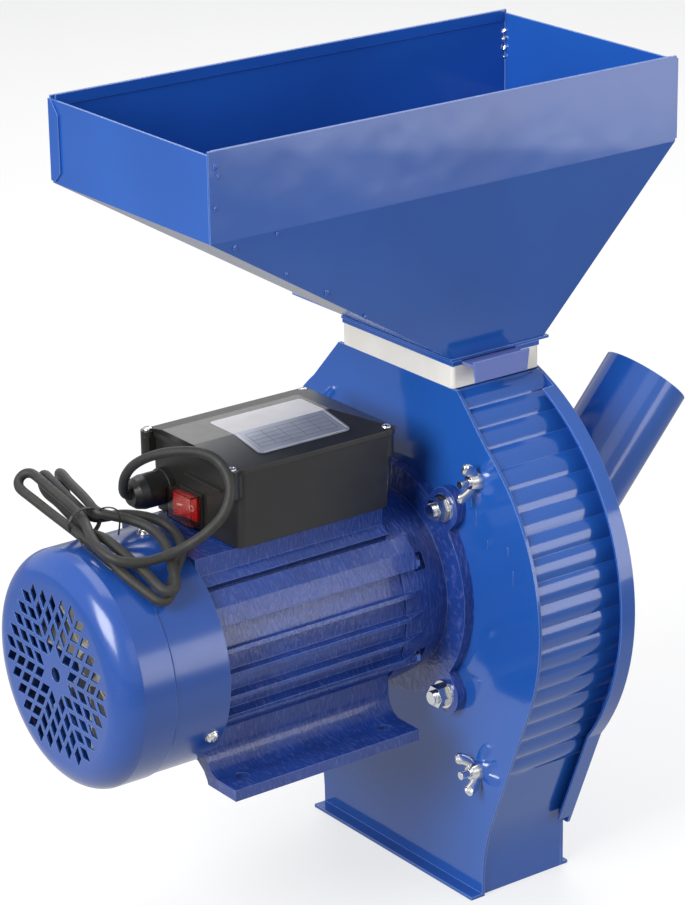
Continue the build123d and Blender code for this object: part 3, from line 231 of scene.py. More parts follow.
def bright_zinc(name="bright_zinc", colour="d6d8dc", warm="cfcab4"):
    """Bright zinc plate with a faint passivated tint."""
    finish = Finish(name, colour, 0.12, metallic=1.0)
    edge = finish.soft_edges(0.3 * MM)
    finish.tint(finish.ramp(finish.noise(90, 2), 0.45, 0.7), warm, 0.4)
    # near-white edges are a painted highlight
    finish.tint(edge, "f6f6f4", 0.6)
    finish.rough(finish.noise(150, 2), 0.08, 0.2)
    finish.bump(finish.noise(320, 2), 0.03 * MM)
    return finish.material


def ground_steel():
    """Bare steel with fine grinding lines along X."""
    stretch = (1, 14, 14)
    finish = Finish("ground_steel", "9fa1a5", 0.35, metallic=1.0)
    finish.soft_edges(0.3 * MM)
    finish.tint(finish.ramp(finish.noise(60, 4), 0.5, 0.72), "6f6c68", 0.5)
    finish.rough(finish.noise(90, 4, stretch), 0.25, 0.5)
    finish.bump(finish.noise(140, 3, stretch), 0.03 * MM)
    return finish.material


def laminations():
    """Stacked core plates, each half a millimetre."""
    finish = Finish("core_laminations", "4b4a4d", 0.55, metallic=0.8)
    wave = finish.add("ShaderNodeTexWave", bands_direction="X")
    wave.inputs["Scale"].default_value = 320
    finish.link(finish.place, wave.inputs["Vector"])
    finish.tint(wave.outputs["Fac"], "2d2c2e", 0.7)
    finish.bump(wave.outputs["Fac"], 0.08 * MM)
    return finish.material


def copper_windings():
    """Varnished copper wire, its strands running along X."""
    finish = Finish("varnished_copper", "b3653a", 0.35, metallic=0.9)
    finish.set(Coat_Weight=0.6, Coat_Roughness=0.1)
    strands = finish.noise(420, 2, (0.2, 3, 3))
    finish.tint(finish.ramp(strands, 0.4, 0.6), "6e3317", 0.7)
    finish.bump(strands, 0.3 * MM)
    return finish.material


def moulded(name, colour, spot, roughness, grain=1300, depth=0.03, coat=0.0):
    """Moulded plastic with a fine grain and faint mottling."""
    finish = Finish(name, colour, roughness)
    edge = finish.soft_edges(0.6 * MM)
    finish.set(Coat_Weight=coat, Coat_Roughness=0.12)
    finish.tint(finish.ramp(finish.noise(24, 4), 0.4, 0.68), spot, 0.6)
    finish.tint(edge, spot, 0.35)
    finish.rough(finish.noise(120, 4), roughness - 0.08, roughness + 0.1)
    finish.bump(finish.noise(grain, 3), depth * MM)
    return finish.material


def rubber(name, colour, dust):
    """Matt rubber with a little pale dust."""
    finish = Finish(name, colour, 0.6)
    finish.soft_edges(0.3 * MM)
    finish.set(Sheen_Weight=0.08, Sheen_Roughness=0.5)
    finish.tint(finish.ramp(finish.noise(160, 5), 0.5, 0.75), dust, 0.45)
    finish.rough(finish.noise(300, 3), 0.5, 0.72)
    finish.bump(finish.noise(1100, 3), 0.05 * MM)
    return finish.material


def clear_cover():
    """Clear soft boot of the switch."""
    finish = Finish("clear_boot", "f3dcd4", 0.16)
    finish.set(Transmission_Weight=1.0, IOR=1.35)
    finish.rough(finish.noise(70, 3), 0.08, 0.24)
    finish.bump(finish.noise(60, 2), 0.2 * MM)
    return finish.material


def red_rocker():
    """Glossy red plastic of the switch rocker."""
    finish = Finish("red_rocker", "c4130e", 0.26)
    finish.soft_edges(0.4 * MM)
    finish.set(Coat_Weight=0.5, Coat_Roughness=0.08, Subsurface_Weight=0.2)
    finish.tint(finish.ramp(finish.noise(110, 3), 0.45, 0.7), "a90d0b", 0.5)
    finish.bump(finish.noise(800, 2), 0.02 * MM)
    return finish.material


def printed(name, colour, spot, roughness=0.4, metallic=0.0):
    """Printed or foil surface of the label and the switch marks."""
    finish = Finish(name, colour, roughness, metallic=metallic)
    finish.tint(finish.ramp(finish.noise(45, 4), 0.45, 0.7), spot, 0.5)
    finish.rough(finish.noise(200, 3), roughness - 0.1, roughness + 0.12)
    finish.bump(finish.noise(500, 3), 0.02 * MM)
    return finish.material


look = {
    "blue_paint": sheet_enamel(),
    "motor_paint": hammered_enamel(),
    "cover_paint": satin_enamel(),
    "zinc_plate": bright_zinc(),
    "bare_steel": ground_steel(),
    "core_steel": laminations(),
    "copper": copper_windings(),
    "fan_plastic": moulded("fan_plastic", "cfccc2", "b3b0a6", 0.5),
    "cream_plastic": moulded("cream_plastic", "efece6", "e2dcd3", 0.4, depth=0.015),
    "black_plastic": moulded("black_plastic", "1f1f1e", "2a2927", 0.34, grain=900, depth=0.03),
    "red_plastic": red_rocker(),
    "clear_plastic": clear_cover(),
    "seal_rubber": rubber("seal_rubber", "1a1a1a", "35332f"),
    "cord_rubber": rubber("cord_rubber", "1e1e1c", "363530"),
    "tie_wire": moulded("tie_wire", "141414", "2e2d2b", 0.35, coat=0.3),
    "pin_brass": bright_zinc("nickel_pins", "d8cfae", "b9a26a"),
    "capacitor_can": moulded("capacitor_can", "c9c8c4", "aeaca6", 0.3, coat=0.2),
}
# near white: on the label's upper part a painted reflection of the light above, on the border lines white
# print
label_white_print_and_painted_reflection = printed("label_white_print_and_painted_reflection", "d9d6d4", "c6c0be", 0.5)
label_silver = printed("label_silver", "a9adb6", "8d919b", 0.32, metallic=0.5)
label_line = printed("label_line", "5a5e68", "484b54")
mark_white = printed("mark_white", "f3e9e4", "e3cfc8")

gate_enamel = sheet_enamel("gate_enamel", "6a7cc2", "6072b6")

slot_of = {part["node"]: part["material_slot"] for part in frame["record"]["subparts"]}
for node_name, obj in nodes.items():
    obj.data.materials.clear()
    obj.data.materials.append(gate_enamel if node_name == "feed_gate" else look[slot_of[node_name]])


# ================================================================ mesh helpers
def finish_mesh(bm, name, material, body, smooth=True):
    """Turn a bmesh into an object that rides on a body."""
    bmesh.ops.recalc_face_normals(bm, faces=bm.faces)
    mesh = bpy.data.meshes.new(name)
    bm.to_mesh(mesh)
    bm.free()
    obj = bpy.data.objects.new(name, mesh)
    scene.collection.objects.link(obj)
    mesh.materials.append(material)
    for polygon in mesh.polygons:
        polygon.use_smooth = smooth
    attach(obj, body)
    return obj


def curve_piece(name, points, radius, material, body):
    """Round wire along a NURBS spline with these points as its control points."""
    data = bpy.data.curves.new(name, "CURVE")
    data.dimensions = "3D"
    data.resolution_u = 8
    data.bevel_depth = radius
    data.bevel_resolution = 5
    data.use_fill_caps = True
    spline = data.splines.new("NURBS")
    spline.points.add(len(points) - 1)
    for point, place in zip(spline.points, points):
        point.co = (*place, 1.0)
    spline.order_u = 3
    spline.use_endpoint_u = True
    obj = bpy.data.objects.new(name, data)
    scene.collection.objects.link(obj)
    data.materials.append(material)
    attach(obj, body)
    return obj


# ================================================================ mains lead
lead_route = [
    (-79, 36, 190), (-83, 36, 191), (-86.5, 33, 199), (-88, 26, 211), (-88, 13, 223),
    (-82.5, -3, 232.5), (-75, -19, 238), (-67.5, -36, 241), (-63, -51, 239.5), (-62, -64, 230),
    (-66, -71, 218), (-73.5, -72, 206), (-80.5, -66, 196), (-88, -59, 187.5), (-99, -53, 181),
    (-112, -49, 177.5), (-126, -46, 177), (-139, -39, 179.5), (-143.5, -25, 184.5),
    (-140, -8, 189), (-133, 8, 191), (-130, 20, 193),
    # first fold at the back
    (-129.6, 32, 195.5), (-131, 48, 200), (-132.6, 60, 204), (-133, 71.4, 206.8),
    (-133.9, 76.8, 207.8), (-137.2, 80.8, 206.7), (-141.6, 80.8, 203.3), (-144.3, 76.8, 200.1),
    (-144.6, 71.3, 198.4), (-143.6, 60, 196),
    (-141, 40, 190.5), (-139, 20, 186), (-137.5, 6, 182.5),
    # outer fold over the fan cover
    (-136, -8, 180), (-136.5, -22, 177.5), (-136.5, -35, 172.5), (-133, -48, 166),
    (-127.5, -59, 159.5), (-123.5, -67.5, 154.5), (-115.5, -68, 155.5), (-108, -58.5, 162),
    (-98, -50, 168.5), (-87.5, -41, 172), (-79, -28, 173.5), (-74.5, -13, 177), (-79, -2, 183),
    (-90, 6, 187), (-103, 12.5, 189), (-113, 16, 188), (-119.5, 20, 188), (-122.5, 27, 190.5),
    # second fold at the back
    (-124, 38, 195), (-125, 53, 200.5), (-125.2, 66.5, 204.6), (-124.8, 72.5, 205.8),
    (-124.5, 77.5, 203), (-124.5, 77.5, 196.6), (-124.8, 73, 192.6), (-125.2, 67, 191.2),
    (-125.8, 56, 190.4),
    (-127.5, 43, 188.5), (-129, 22, 184), (-130, 8, 182.5),
    # inner fold over the fan cover
    (-130, -8, 185.5), (-129, -20, 183), (-126.5, -31, 178), (-123.5, -42, 173),
    (-122, -53, 168.5), (-121.8, -62.5, 164.6), (-119.3, -69, 161.8), (-112.8, -71, 162.4),
    (-108.3, -64.5, 166.5),
    (-101.5, -48.5, 172.5), (-96, -38, 175.5), (-93, -27, 179.5), (-94, -12, 185),
    (-103, 0, 189), (-113, 7, 192), (-121, 14, 194.5),
    # last strand and the hidden drop to the plug
    (-119, 28, 198.5), (-117, 43, 200.5), (-114.5, 58, 201.5), (-111, 73, 203),
    (-106, 86, 198.5), (-99.5, 92, 187), (-94, 93, 170), (-88.5, 89, 149), (-84, 88, 125),
    (-84, 92, 101), (-84.5, 94, 78), (-84, 93, 56), (-73, 87.5, 37), (-55, 81.5, 26.5),
    (-33, 81.5, 26.5),
]
lead_radius = 3.5 * MM
lead_points = [tuple(v * MM for v in point) for point in lead_route]
lead = curve_piece("mains_lead", lead_points, lead_radius, look["cord_rubber"], "mill")
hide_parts("power_cord", "cord_hank", "cord_tail")

tie_centre = Vector((-129.8, 14.5, 188.6)) * MM
tie_half = (12.9 * MM, 10.6 * MM)
tie_turns = 2
tie_pitch = 1.5 * MM
tie_radius = 0.6 * MM
tie_start = math.radians(200)
steps_per_turn = 14
tie_points = []
for k in range(tie_turns * steps_per_turn + steps_per_turn * 5 // 8):
    angle = tie_start + 2 * math.pi * k / steps_per_turn
    tie_points.append(
        tie_centre
        + Vector(
            (
                tie_half[0] * math.cos(angle),
                (k / steps_per_turn - tie_turns / 2) * tie_pitch,
                tie_half[1] * math.sin(angle),
            )
        )
    )
loose_end = [(-121, 7, 199.5), (-116, 1, 201), (-112.5, -3, 198), (-112.5, -3.5, 190), (-114, -3, 181)]
short_end = [
    (-140.5, 7, 183.5), (-143.5, -4, 180), (-143.5, -16, 178.5), (-142.5, -27, 175.5),
    (-140, -35, 172),
]
tie_points = [Vector(p) * MM for p in reversed(short_end)] + tie_points
tie_points += [Vector(p) * MM for p in loose_end]
tie = curve_piece("wire_tie", tie_points, tie_radius, look["tie_wire"], "mill")
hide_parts("cord_tie")


# ================================================================ small pieces
def place_at(point, axis):
    """Matrix that carries millimetres about the local Z axis to a place on the object."""
    turn = Vector(axis).to_track_quat("Z", "Y").to_matrix().to_4x4()
    return Matrix.Translation(Vector(point) * MM) @ turn @ Matrix.Scale(MM, 4)


def turned(bm, profile, place, steps=28, ring=False):
    """Add a body turned about the local Z axis from points of radius and height."""
    rings = []
    for radius, height in profile:
        angles = [2 * math.pi * k / steps for k in range(steps if radius > 0 else 1)]
        corners = [Vector((radius * math.cos(a), radius * math.sin(a), height)) for a in angles]
        rings.append([bm.verts.new(place @ corner) for corner in corners])
    pairs = list(zip(rings, rings[1:])) + ([(rings[-1], rings[0])] if ring else [])
    for low, high in pairs:
        for k in range(steps):
            n = k + 1
            corners = (low[k % len(low)], low[n % len(low)], high[n % len(high)], high[k % len(high)])
            bm.faces.new(list(dict.fromkeys(corners)))


def prism(bm, outline, origin, across, upward, height):
    """Add a prism whose outline lies in the plane of two directions, all in millimetres."""
    across, upward = Vector(across).normalized(), Vector(upward).normalized()
    rise = across.cross(upward) * height
    low = [Vector(origin) + across * u + upward * v for u, v in outline]
    bottom = [bm.verts.new(corner * MM) for corner in low]
    top = [bm.verts.new((corner + rise) * MM) for corner in low]
    bm.faces.new(bottom[::-1])
    bm.faces.new(top)
    for k in range(len(low)):
        n = (k + 1) % len(low)
        bm.faces.new((bottom[k], bottom[n], top[n], top[k]))


def rounded(x0, y0, x1, y1, radii=(0, 0, 0, 0), steps=6):
    """Rectangle outline with a radius for each corner, anticlockwise from the low left one."""
    outline = []
    corners = ((x0, y0, 180), (x1, y0, 270), (x1, y1, 0), (x0, y1, 90))
    for (x, y, start), radius in zip(corners, radii):
        centre_x = x + radius if x == x0 else x - radius
        centre_y = y + radius if y == y0 else y - radius
        for k in range(steps + 1 if radius else 1):
            angle = math.radians(start + 90 * k / steps)
            outline.append((centre_x + radius * math.cos(angle), centre_y + radius * math.sin(angle)))
    return outline


def combine(obj, other, operation):
    """Cut another mesh out of an object, or join it on, and drop the other one."""
    modifier = obj.modifiers.new("combine", "BOOLEAN")
    modifier.operation = operation
    modifier.solver = "EXACT"
    modifier.object = other
    evaluated = obj.evaluated_get(bpy.context.evaluated_depsgraph_get())
    mesh = bpy.data.meshes.new_from_object(evaluated)
    obj.modifiers.clear()
    obj.data = mesh
    bpy.data.objects.remove(other)


def auto_smooth(obj, angle=35):
    """Smooth shading that keeps the edges sharper than an angle."""
    for polygon in obj.data.polygons:
        polygon.use_smooth = True
    obj.data.set_sharp_from_angle(angle=math.radians(angle))


def cross_screws(name, replaced, profile, recess, places):
    """Pan head screws with a cross recess; places are pairs of a point and its outward axis."""
    bm = bmesh.new()
    cutters = bmesh.new()
    top = max(height for _, height in profile)
    reach, half_width, depth = recess
    for point, axis in places:
        place = place_at(point, axis)
        turned(bm, profile, place)
        across = place.to_3x3() @ Vector((1, 0, 0))
        upward = place.to_3x3() @ Vector((0, 1, 0))
        start = Vector(point) + Vector(axis).normalized() * (top - depth)
        r, w = reach, half_width
        cross = [
            (-r, -w), (-w, -w), (-w, -r), (w, -r), (w, -w), (r, -w),
            (r, w), (w, w), (w, r), (-w, r), (-w, w), (-r, w),
        ]
        prism(cutters, cross, start, across, upward, depth + 1)
    obj = finish_mesh(bm, name, look["zinc_plate"], "mill")
    cutter = finish_mesh(cutters, name + "_recess", look["zinc_plate"], "mill")
    combine(obj, cutter, "DIFFERENCE")
    auto_smooth(obj)
    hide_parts(replaced)


# screws of the box lid: two in the lugs beside the switch, two in the corners beside the mill
lid_seat = 228.0
lid_screw_spots = ((-52, -52), (-52, 52), (81.5, -50), (81.5, 50))
lid_screw_places = [((x, y, lid_seat), (0, 0, 1)) for x, y in lid_screw_spots]
pan_head = [(0, -12), (1.5, -12), (1.5, 0), (3.5, 0), (3.6, 0.8), (3.1, 1.7), (2.0, 2.2), (0, 2.35)]
cross_screws("lid_cross_screws", "lid_screws", pan_head, (2.1, 0.45, 1.3), lid_screw_places)

# screws of the fan cover, each on a plain washer
shaft_z = 90.0
cover_seat = 85.0
cover_screw_x = -90.0
cover_screw_places = []
for screw_angle in (89, 209, 329):
    outward = Vector((0, math.cos(math.radians(screw_angle)), math.sin(math.radians(screw_angle))))
    cover_screw_places.append((Vector((cover_screw_x, 0, shaft_z)) + outward * cover_seat, outward))
washer_head = [
    (0, -5.4), (2.3, -5.4), (2.3, 0), (5.4, 0), (5.5, 0.4), (5.4, 0.9),
    (4.3, 1.0), (4.4, 2.0), (3.8, 3.0), (2.5, 3.6), (0, 3.8),
]
cross_screws("cover_cross_screws", "fan_cover_screws", washer_head, (2.5, 0.55, 1.7), cover_screw_places)


def thread(bm, place, radius, pitch, turns, depth, steps=24):
    """Add a helical ridge of triangular section round the local Z axis."""
    foot_radius = radius - 0.2
    half_foot = 0.45 * pitch
    least_crest = radius + 0.02
    run_out = 5
    count = round(turns * steps)
    sections = []
    for k in range(count + 1):
        angle = 2 * math.pi * k / steps
        lift = pitch * k / steps
        crest = least_crest + depth * min(1, k / run_out, (count - k) / run_out)
        profile = ((foot_radius, lift - half_foot), (crest, lift), (foot_radius, lift + half_foot))
        sections.append(
            [bm.verts.new(place @ Vector((r * math.cos(angle), r * math.sin(angle), h))) for r, h in profile]
        )
    for one, other in zip(sections, sections[1:]):
        for i in range(3):
            j = (i + 1) % 3
            bm.faces.new((one[i], one[j], other[j], other[i]))
    bm.faces.new(sections[0][::-1])
    bm.faces.new(sections[-1])


bolt_threads = bmesh.new()
flange_y, flange_z = 65.3, 72.8
bolt_radius = 5.0
thread_x, thread_pitch, thread_turns, thread_depth = 108.1, 1.5, 1.9, 0.4
for y in (-flange_y, flange_y):
    for z in (shaft_z - flange_z, shaft_z + flange_z):
        place = place_at((thread_x, y, z), (1, 0, 0))
        thread(bolt_threads, place, bolt_radius, thread_pitch, thread_turns, thread_depth)
threads = finish_mesh(bolt_threads, "flange_bolt_threads", look["zinc_plate"], "mill")
auto_smooth(threads, 50)

# cast wing nuts: a conical boss with two thick ears, turned as far as each one was screwed on
plate_face_x = 129.0
boss_profile = [(3.05, 0), (7.2, 0), (7.2, 1.4), (5.7, 7.4), (4.9, 8.5), (3.5, 8.5), (3.05, 8.1)]
ear_stations = (  # along the axis, out from it, half width, half thickness
    (3.2, 3.6, 3.1, 2.7), (5.2, 6.8, 4.0, 2.7), (8.0, 9.6, 4.5, 2.6), (11.0, 11.4, 4.5, 2.5),
    (13.4, 12.4, 4.3, 2.3), (14.8, 12.9, 3.6, 1.9), (15.6, 13.2, 2.2, 1.1),
)
ear_sides = 16
nut_places = ((-93.5, 190, 12), (-93.5, -36, -28), (93.5, 190, -15), (93.5, -36, 100))


def ear(bm, centre, outward):
    """Add one ear of a wing nut, swept from the boss away from the plate and the axis."""
    axis, flat = Vector((-1, 0, 0)), outward.cross(Vector((-1, 0, 0)))
    rings = []
    for number, (along, out, half_width, half_thickness) in enumerate(ear_stations):
        before, after = ear_stations[max(number - 1, 0)], ear_stations[min(number + 1, len(ear_stations) - 1)]
        tangent = (axis * (after[0] - before[0]) + outward * (after[1] - before[1])).normalized()
        broad = tangent.cross(flat)
        middle = centre + axis * along + outward * out
        ring = []
        for side in range(ear_sides):
            angle = 2 * math.pi * side / ear_sides
            offset = broad * (half_width * math.cos(angle)) + flat * (half_thickness * math.sin(angle))
            ring.append(bm.verts.new((middle + offset) * MM))
        rings.append(ring)
    for low, high in zip(rings, rings[1:]):
        for side in range(ear_sides):
            n = (side + 1) % ear_sides
            bm.faces.new((low[side], low[n], high[n], high[side]))
    bm.faces.new(rings[0][::-1])
    bm.faces.new(rings[-1])


for number, (y, z, screwed) in enumerate(nut_places, start=1):
    body = f"wing_nut_{number}"
    centre = Vector((plate_face_x, y, z))
    boss = bmesh.new()
    turned(boss, boss_profile, place_at(centre, (-1, 0, 0)), ring=True)
    nut = finish_mesh(boss, f"cast_{body}", look["zinc_plate"], body)
    wing_angle = math.radians(90 + screwed)
    for side in (1, -1):
        outward = Vector((0, math.cos(wing_angle), math.sin(wing_angle))) * side
        wing = bmesh.new()
        ear(wing, centre, outward)
        combine(nut, finish_mesh(wing, "ear", look["zinc_plate"], body), "UNION")
    auto_smooth(nut, 40)
    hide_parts(body)

# rating label, left blank: its upper part on the flat of the lid, painted near white as a painted reflection
# of the light above, its lower part on the slope
fold_y, fold_z = -12.5, 236.5
slope_up = (0, 46.3, 8.5)
label_x0, label_x1 = -23.0, 56.0
label_up, label_down = 30.0, 32.5
label_lift, label_thickness = 0.05, 0.22
label_width = label_x1 - label_x0
fold_point = Vector((label_x0, fold_y, fold_z + label_lift))

upper = bmesh.new()
upper_outline = rounded(0, 0, label_width, label_up, (0, 0, 3, 3))
prism(upper, upper_outline, fold_point, (1, 0, 0), (0, 1, 0), label_thickness)
finish_mesh(upper, "label_upper", label_white_print_and_painted_reflection, "mill", smooth=False)
lower = bmesh.new()
lower_outline = rounded(0, -label_down, label_width, 0, (5, 5, 0, 0))
prism(lower, lower_outline, fold_point, (1, 0, 0), slope_up, label_thickness)
finish_mesh(lower, "label_lower", label_silver, "mill", smooth=False)

rules = bmesh.new()
rule_point = fold_point + Vector((0, -0.18, 0.98)) * label_thickness
rule_height = 0.05
rule_line = 0.3
rule_rows, rule_pitch = 5, 5.0
rule_margin = 7
rule_top, rule_bottom = -4.5, -24.5
for row in range(rule_rows):
    down = rule_top - rule_pitch * row
    outline = rounded(rule_margin, down - rule_line, label_width - rule_margin, down)
    prism(rules, outline, rule_point, (1, 0, 0), slope_up, rule_height)
for column in (rule_margin, 20, 33, 46, 59, label_width - rule_margin):
    outline = rounded(column - rule_line, rule_bottom, column, rule_top)
    prism(rules, outline, rule_point, (1, 0, 0), slope_up, rule_height)
finish_mesh(rules, "label_rules", label_line, "mill", smooth=False)
border = bmesh.new()
edge, line = 1.6, 0.6
for x0, y0, x1, y1 in (
    (edge, 4 - label_down, edge + line, 0),
    (label_width - edge - line, 4 - label_down, label_width - edge, 0),
    (4.5, edge - label_down, label_width - 4.5, edge + line - label_down),
):
    prism(border, rounded(x0, y0, x1, y1), rule_point, (1, 0, 0), slope_up, rule_height)
finish_mesh(border, "label_border", label_white_print_and_painted_reflection, "mill", smooth=False)

# on and off marks of the rocker
rocker_crest = Vector((-52.5, 4.5, 185.0))
mark_height = 0.16
on_half = Vector((3.5, -11.0, 0)).normalized()
off_half = Vector((0.4, -12.0, 0)).normalized()
marks = bmesh.new()
prism(marks, rounded(-8.0, -0.45, -3.6, 0.45), rocker_crest, on_half, (0, 0, 1), mark_height)
off_axis = off_half.cross(Vector((0, 0, 1)))
off_place = place_at(rocker_crest + off_half * 6.0, off_axis)
turned(marks, [(1.6, 0), (2.3, 0), (2.3, mark_height), (1.6, mark_height)], off_place, ring=True)
finish_mesh(marks, "rocker_marks", mark_white, "rocker", smooth=False)


def bead(bm, point, size, seed, pull=1.0):
    """Add a low lumpy bead: a ball with three half sizes, roughened by a few waves."""
    made = bmesh.ops.create_icosphere(bm, subdivisions=3, radius=1.0)
    for vert in made["verts"]:
        x, y, z = vert.co
        broad = 0.16 * math.sin(3.1 * x + seed) * math.cos(4.3 * z + 2 * seed)
        wave = broad + 0.1 * math.sin(5.7 * y + seed)
        sag = 1.0 + 0.35 * pull * max(0.0, -z)
        vert.co = (
            Vector(point) + Vector((x * size[0] * sag, y * size[1], z * size[2])) * (1 + wave)
        ) * MM


# welding and paint beads on the hopper's front panel, beside its corner and lower edge
hopper_beads = bmesh.new()
for number, (x, y, z, size) in enumerate(
    (
        (-87.8, -96.2, 457.5, 1.7), (-86.4, -96.2, 451.0, 1.5), (-88.5, -96.1, 430.0, 1.2),
        (-73.6, -94.9, 400.5, 1.5), (-40.5, -96.0, 404.0, 1.0), (-28.4, -88.1, 371.9, 1.3),
        (8.3, -83.0, 350.5, 1.6), (44.0, -77.5, 324.5, 1.2),
    )
):
    bead(hopper_beads, (x, y, z), (size, 0.7, size * 1.35), number)
finish_mesh(hopper_beads, "hopper_weld_beads", look["blue_paint"], "mill")

# bare weld spots in the far corner of the hopper, where the back panel meets the right end
corner_welds = bmesh.new()
for number, (x, y, z, size) in enumerate(
    (
        (305.1, 93.6, 451.5, 2.1), (304.4, 93.9, 445.5, 1.9), (305.0, 93.2, 439.0, 2.2),
        (304.7, 93.8, 432.0, 1.3),
    )
):
    bead(corner_welds, (x, y, z), (size, size, size * 1.2), number + 2)
finish_mesh(corner_welds, "hopper_corner_welds", look["zinc_plate"], "mill")

# runs of enamel below the flange and the studs on the back plate
paint_runs = bmesh.new()
run_x, run_depth = 128.85, 0.42
for number, (y, z, width, length) in enumerate(
    (
        (-85.7, 171.0, 1.3, 4.5), (-91.5, 160.0, 0.9, 6.0), (-127.0, 146.0, 1.2, 3.5),
        (-133.0, 128.0, 0.9, 5.5), (-104.8, 144.3, 0.8, 4.0), (-97.0, -47.0, 1.2, 5.0),
        (88.0, 168.0, 1.0, 5.0),
    )
):
    bead(paint_runs, (run_x, y, z), (run_depth, width, length), number + 0.5, pull=1.8)
finish_mesh(paint_runs, "back_plate_paint_runs", look["blue_paint"], "mill")

# fillet weld round the foot of the cob pipe, where the slanted tube meets the cover
pipe_weld = bmesh.new()
weld_centre, weld_across, weld_high = Vector((209.3, -60.0, 98.2)), 34.2, 51.2
weld_radius, weld_steps, weld_sides = 1.7, 150, 8
weld_rings = []
for k in range(weld_steps):
    angle = 2 * math.pi * k / weld_steps
    outward = Vector((0, math.cos(angle) * weld_high, math.sin(angle) * weld_across)).normalized()
    middle = weld_centre + Vector((0, weld_across * math.cos(angle), weld_high * math.sin(angle)))
    lump = weld_radius * (1 + 0.16 * math.sin(50 * angle) + 0.08 * math.sin(17 * angle + 1))
    weld_rings.append([])
    for side in range(weld_sides):
        turn = 2 * math.pi * side / weld_sides
        corner = middle + lump * (outward * math.cos(turn) + Vector((1, 0, 0)) * math.sin(turn))
        weld_rings[-1].append(pipe_weld.verts.new(corner * MM))
for k in range(weld_steps):
    for side in range(weld_sides):
        n, m = (k + 1) % weld_steps, (side + 1) % weld_sides
        pipe_weld.faces.new(
            (weld_rings[k][side], weld_rings[k][m], weld_rings[n][m], weld_rings[n][side])
        )
finish_mesh(pipe_weld, "pipe_weld", look["blue_paint"], "cover")

# ================================================================ studio
floor_mesh = bpy.data.meshes.new("studio_floor")
floor_half = 9.0
floor_mesh.from_pydata(
    [(x * floor_half, y * floor_half, FLOOR_Z) for x, y in ((-1, -1), (1, -1), (1, 1), (-1, 1))],
    [],
    [(0, 1, 2, 3)],
)
studio_floor = bpy.data.objects.new("studio_floor", floor_mesh)
scene.collection.objects.link(studio_floor)


def pale_floor():
    """Pale floor that lenses and mirrors see nearly white near the object, with its soft shadow."""
    seen_glow = 0.66
    near_distance, far_distance = 0.6, 0.8
    near_glow, far_glow = 0.7, 0.08
    finish = Finish("pale_floor", "8e8e8e", 0.7)
    finish.rough(finish.noise(3, 2), 0.6, 0.8)
    path = finish.add("ShaderNodeLightPath")
    seen = finish.add("ShaderNodeMath", operation="MAXIMUM")
    finish.link(path.outputs["Is Camera Ray"], seen.inputs[0])
    finish.link(path.outputs["Is Transmission Ray"], seen.inputs[1])
    seen_share = finish.add("ShaderNodeMath", operation="MULTIPLY")
    seen_share.inputs[1].default_value = seen_glow
    finish.link(seen.outputs[0], seen_share.inputs[0])
    finish.tint(seen.outputs[0], "f6f6f6")
    distance = finish.add("ShaderNodeVectorMath", operation="LENGTH")
    finish.link(finish.place, distance.inputs[0])
    near = finish.add("ShaderNodeMapRange")
    near.inputs["From Min"].default_value = near_distance
    near.inputs["From Max"].default_value = far_distance
    near.inputs["To Min"].default_value = near_glow
    near.inputs["To Max"].default_value = far_glow
    finish.link(distance.outputs["Value"], near.inputs["Value"])
    mirrored = finish.add("ShaderNodeMath", operation="MULTIPLY")
    finish.link(path.outputs["Is Glossy Ray"], mirrored.inputs[0])
    finish.link(near.outputs["Result"], mirrored.inputs[1])
    share = finish.add("ShaderNodeMath", operation="MAXIMUM")
    finish.link(seen_share.outputs[0], share.inputs[0])
    finish.link(mirrored.outputs[0], share.inputs[1])
    glow = finish.add("ShaderNodeEmission")
    mix = finish.add("ShaderNodeMixShader")
    finish.link(share.outputs[0], mix.inputs["Fac"])
    finish.link(finish.shader.outputs[0], mix.inputs[1])
    finish.link(glow.outputs[0], mix.inputs[2])
    finish.link(mix.outputs[0], finish.tree.nodes["Material Output"].inputs["Surface"])
    return finish.material


floor_mesh.materials.append(pale_floor())


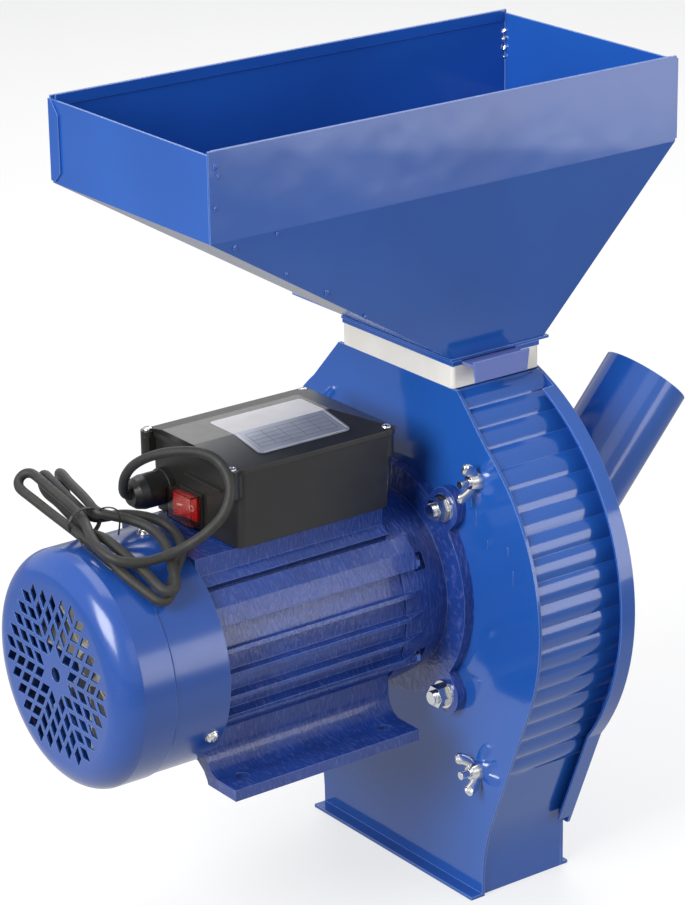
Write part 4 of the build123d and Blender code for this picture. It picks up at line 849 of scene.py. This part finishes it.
def studio_world():
    """Dim soft world that the camera, lenses and mirrors see as a pale backdrop."""
    world = bpy.data.worlds.new("studio")
    world.use_nodes = True
    tree = world.node_tree
    dim = tree.nodes["Background"]
    dim.inputs["Color"].default_value = (0.93, 0.95, 1.0, 1.0)
    dim.inputs["Strength"].default_value = 0.32
    backdrop = tree.nodes.new("ShaderNodeBackground")
    backdrop.inputs["Strength"].default_value = 1.0
    path = tree.nodes.new("ShaderNodeLightPath")
    share = path.outputs["Is Camera Ray"]
    for ray in ("Is Transmission Ray", "Is Glossy Ray"):
        either = tree.nodes.new("ShaderNodeMath")
        either.operation = "MAXIMUM"
        tree.links.new(share, either.inputs[0])
        tree.links.new(path.outputs[ray], either.inputs[1])
        share = either.outputs[0]
    mix = tree.nodes.new("ShaderNodeMixShader")
    tree.links.new(share, mix.inputs["Fac"])
    tree.links.new(dim.outputs[0], mix.inputs[1])
    tree.links.new(backdrop.outputs[0], mix.inputs[2])
    tree.links.new(mix.outputs[0], tree.nodes["World Output"].inputs["Surface"])
    return world


scene.world = studio_world()

lamp_target = Vector((0.05, 0.0, 0.16))


def softbox(name, place, size, power, colour=(1.0, 1.0, 1.0)):
    """Area lamp aimed at the object."""
    lamp = bpy.data.lights.new(name, "AREA")
    lamp.shape = "RECTANGLE"
    lamp.size, lamp.size_y = size
    lamp.energy = power
    lamp.color = colour
    obj = bpy.data.objects.new(name, lamp)
    scene.collection.objects.link(obj)
    obj.location = place
    obj.rotation_euler = (Vector(place) - lamp_target).to_track_quat("Z", "Y").to_euler()


softbox("key_left", place=(-2.4, -0.5, 1.5), size=(1.5, 1.5), power=84)
softbox("low_front_right", place=(1.35, -1.65, 0.35), size=(1.4, 0.95), power=14, colour=(1.0, 0.97, 0.96))
softbox("front", place=(-0.3, -2.9, 1.6), size=(1.8, 1.2), power=5)
softbox("top", place=(0.2, 0.4, 2.6), size=(2.0, 2.0), power=30)
softbox("rim_back", place=(1.5, 1.8, 1.95), size=(1.4, 1.4), power=25)

# ---------------------------------------------------------------- camera
camera_place = Vector((-1.2446, -1.8094, 1.0343))
azimuth, elevation, roll = (math.radians(a) for a in (-36.2, 20.52, -0.93))
back = Vector(
    (
        math.sin(azimuth) * math.cos(elevation),
        -math.cos(azimuth) * math.cos(elevation),
        math.sin(elevation),
    )
)
level = Vector((math.cos(azimuth), math.sin(azimuth), 0))
upright = back.cross(level)
right = math.cos(roll) * level + math.sin(roll) * upright
up = back.cross(right)
focal_pixels = 3339.83
picture_height = 905
camera_data = bpy.data.cameras.new("camera")
camera_data.sensor_width = 36
camera_data.lens = focal_pixels * camera_data.sensor_width / picture_height
camera_data.clip_end = 50
camera = bpy.data.objects.new("camera", camera_data)
scene.collection.objects.link(camera)
camera.matrix_world = Matrix(
    [[right[i], up[i], back[i], camera_place[i]] for i in range(3)] + [[0, 0, 0, 1]]
)
scene.camera = camera
scene.view_settings.view_transform = "Standard"
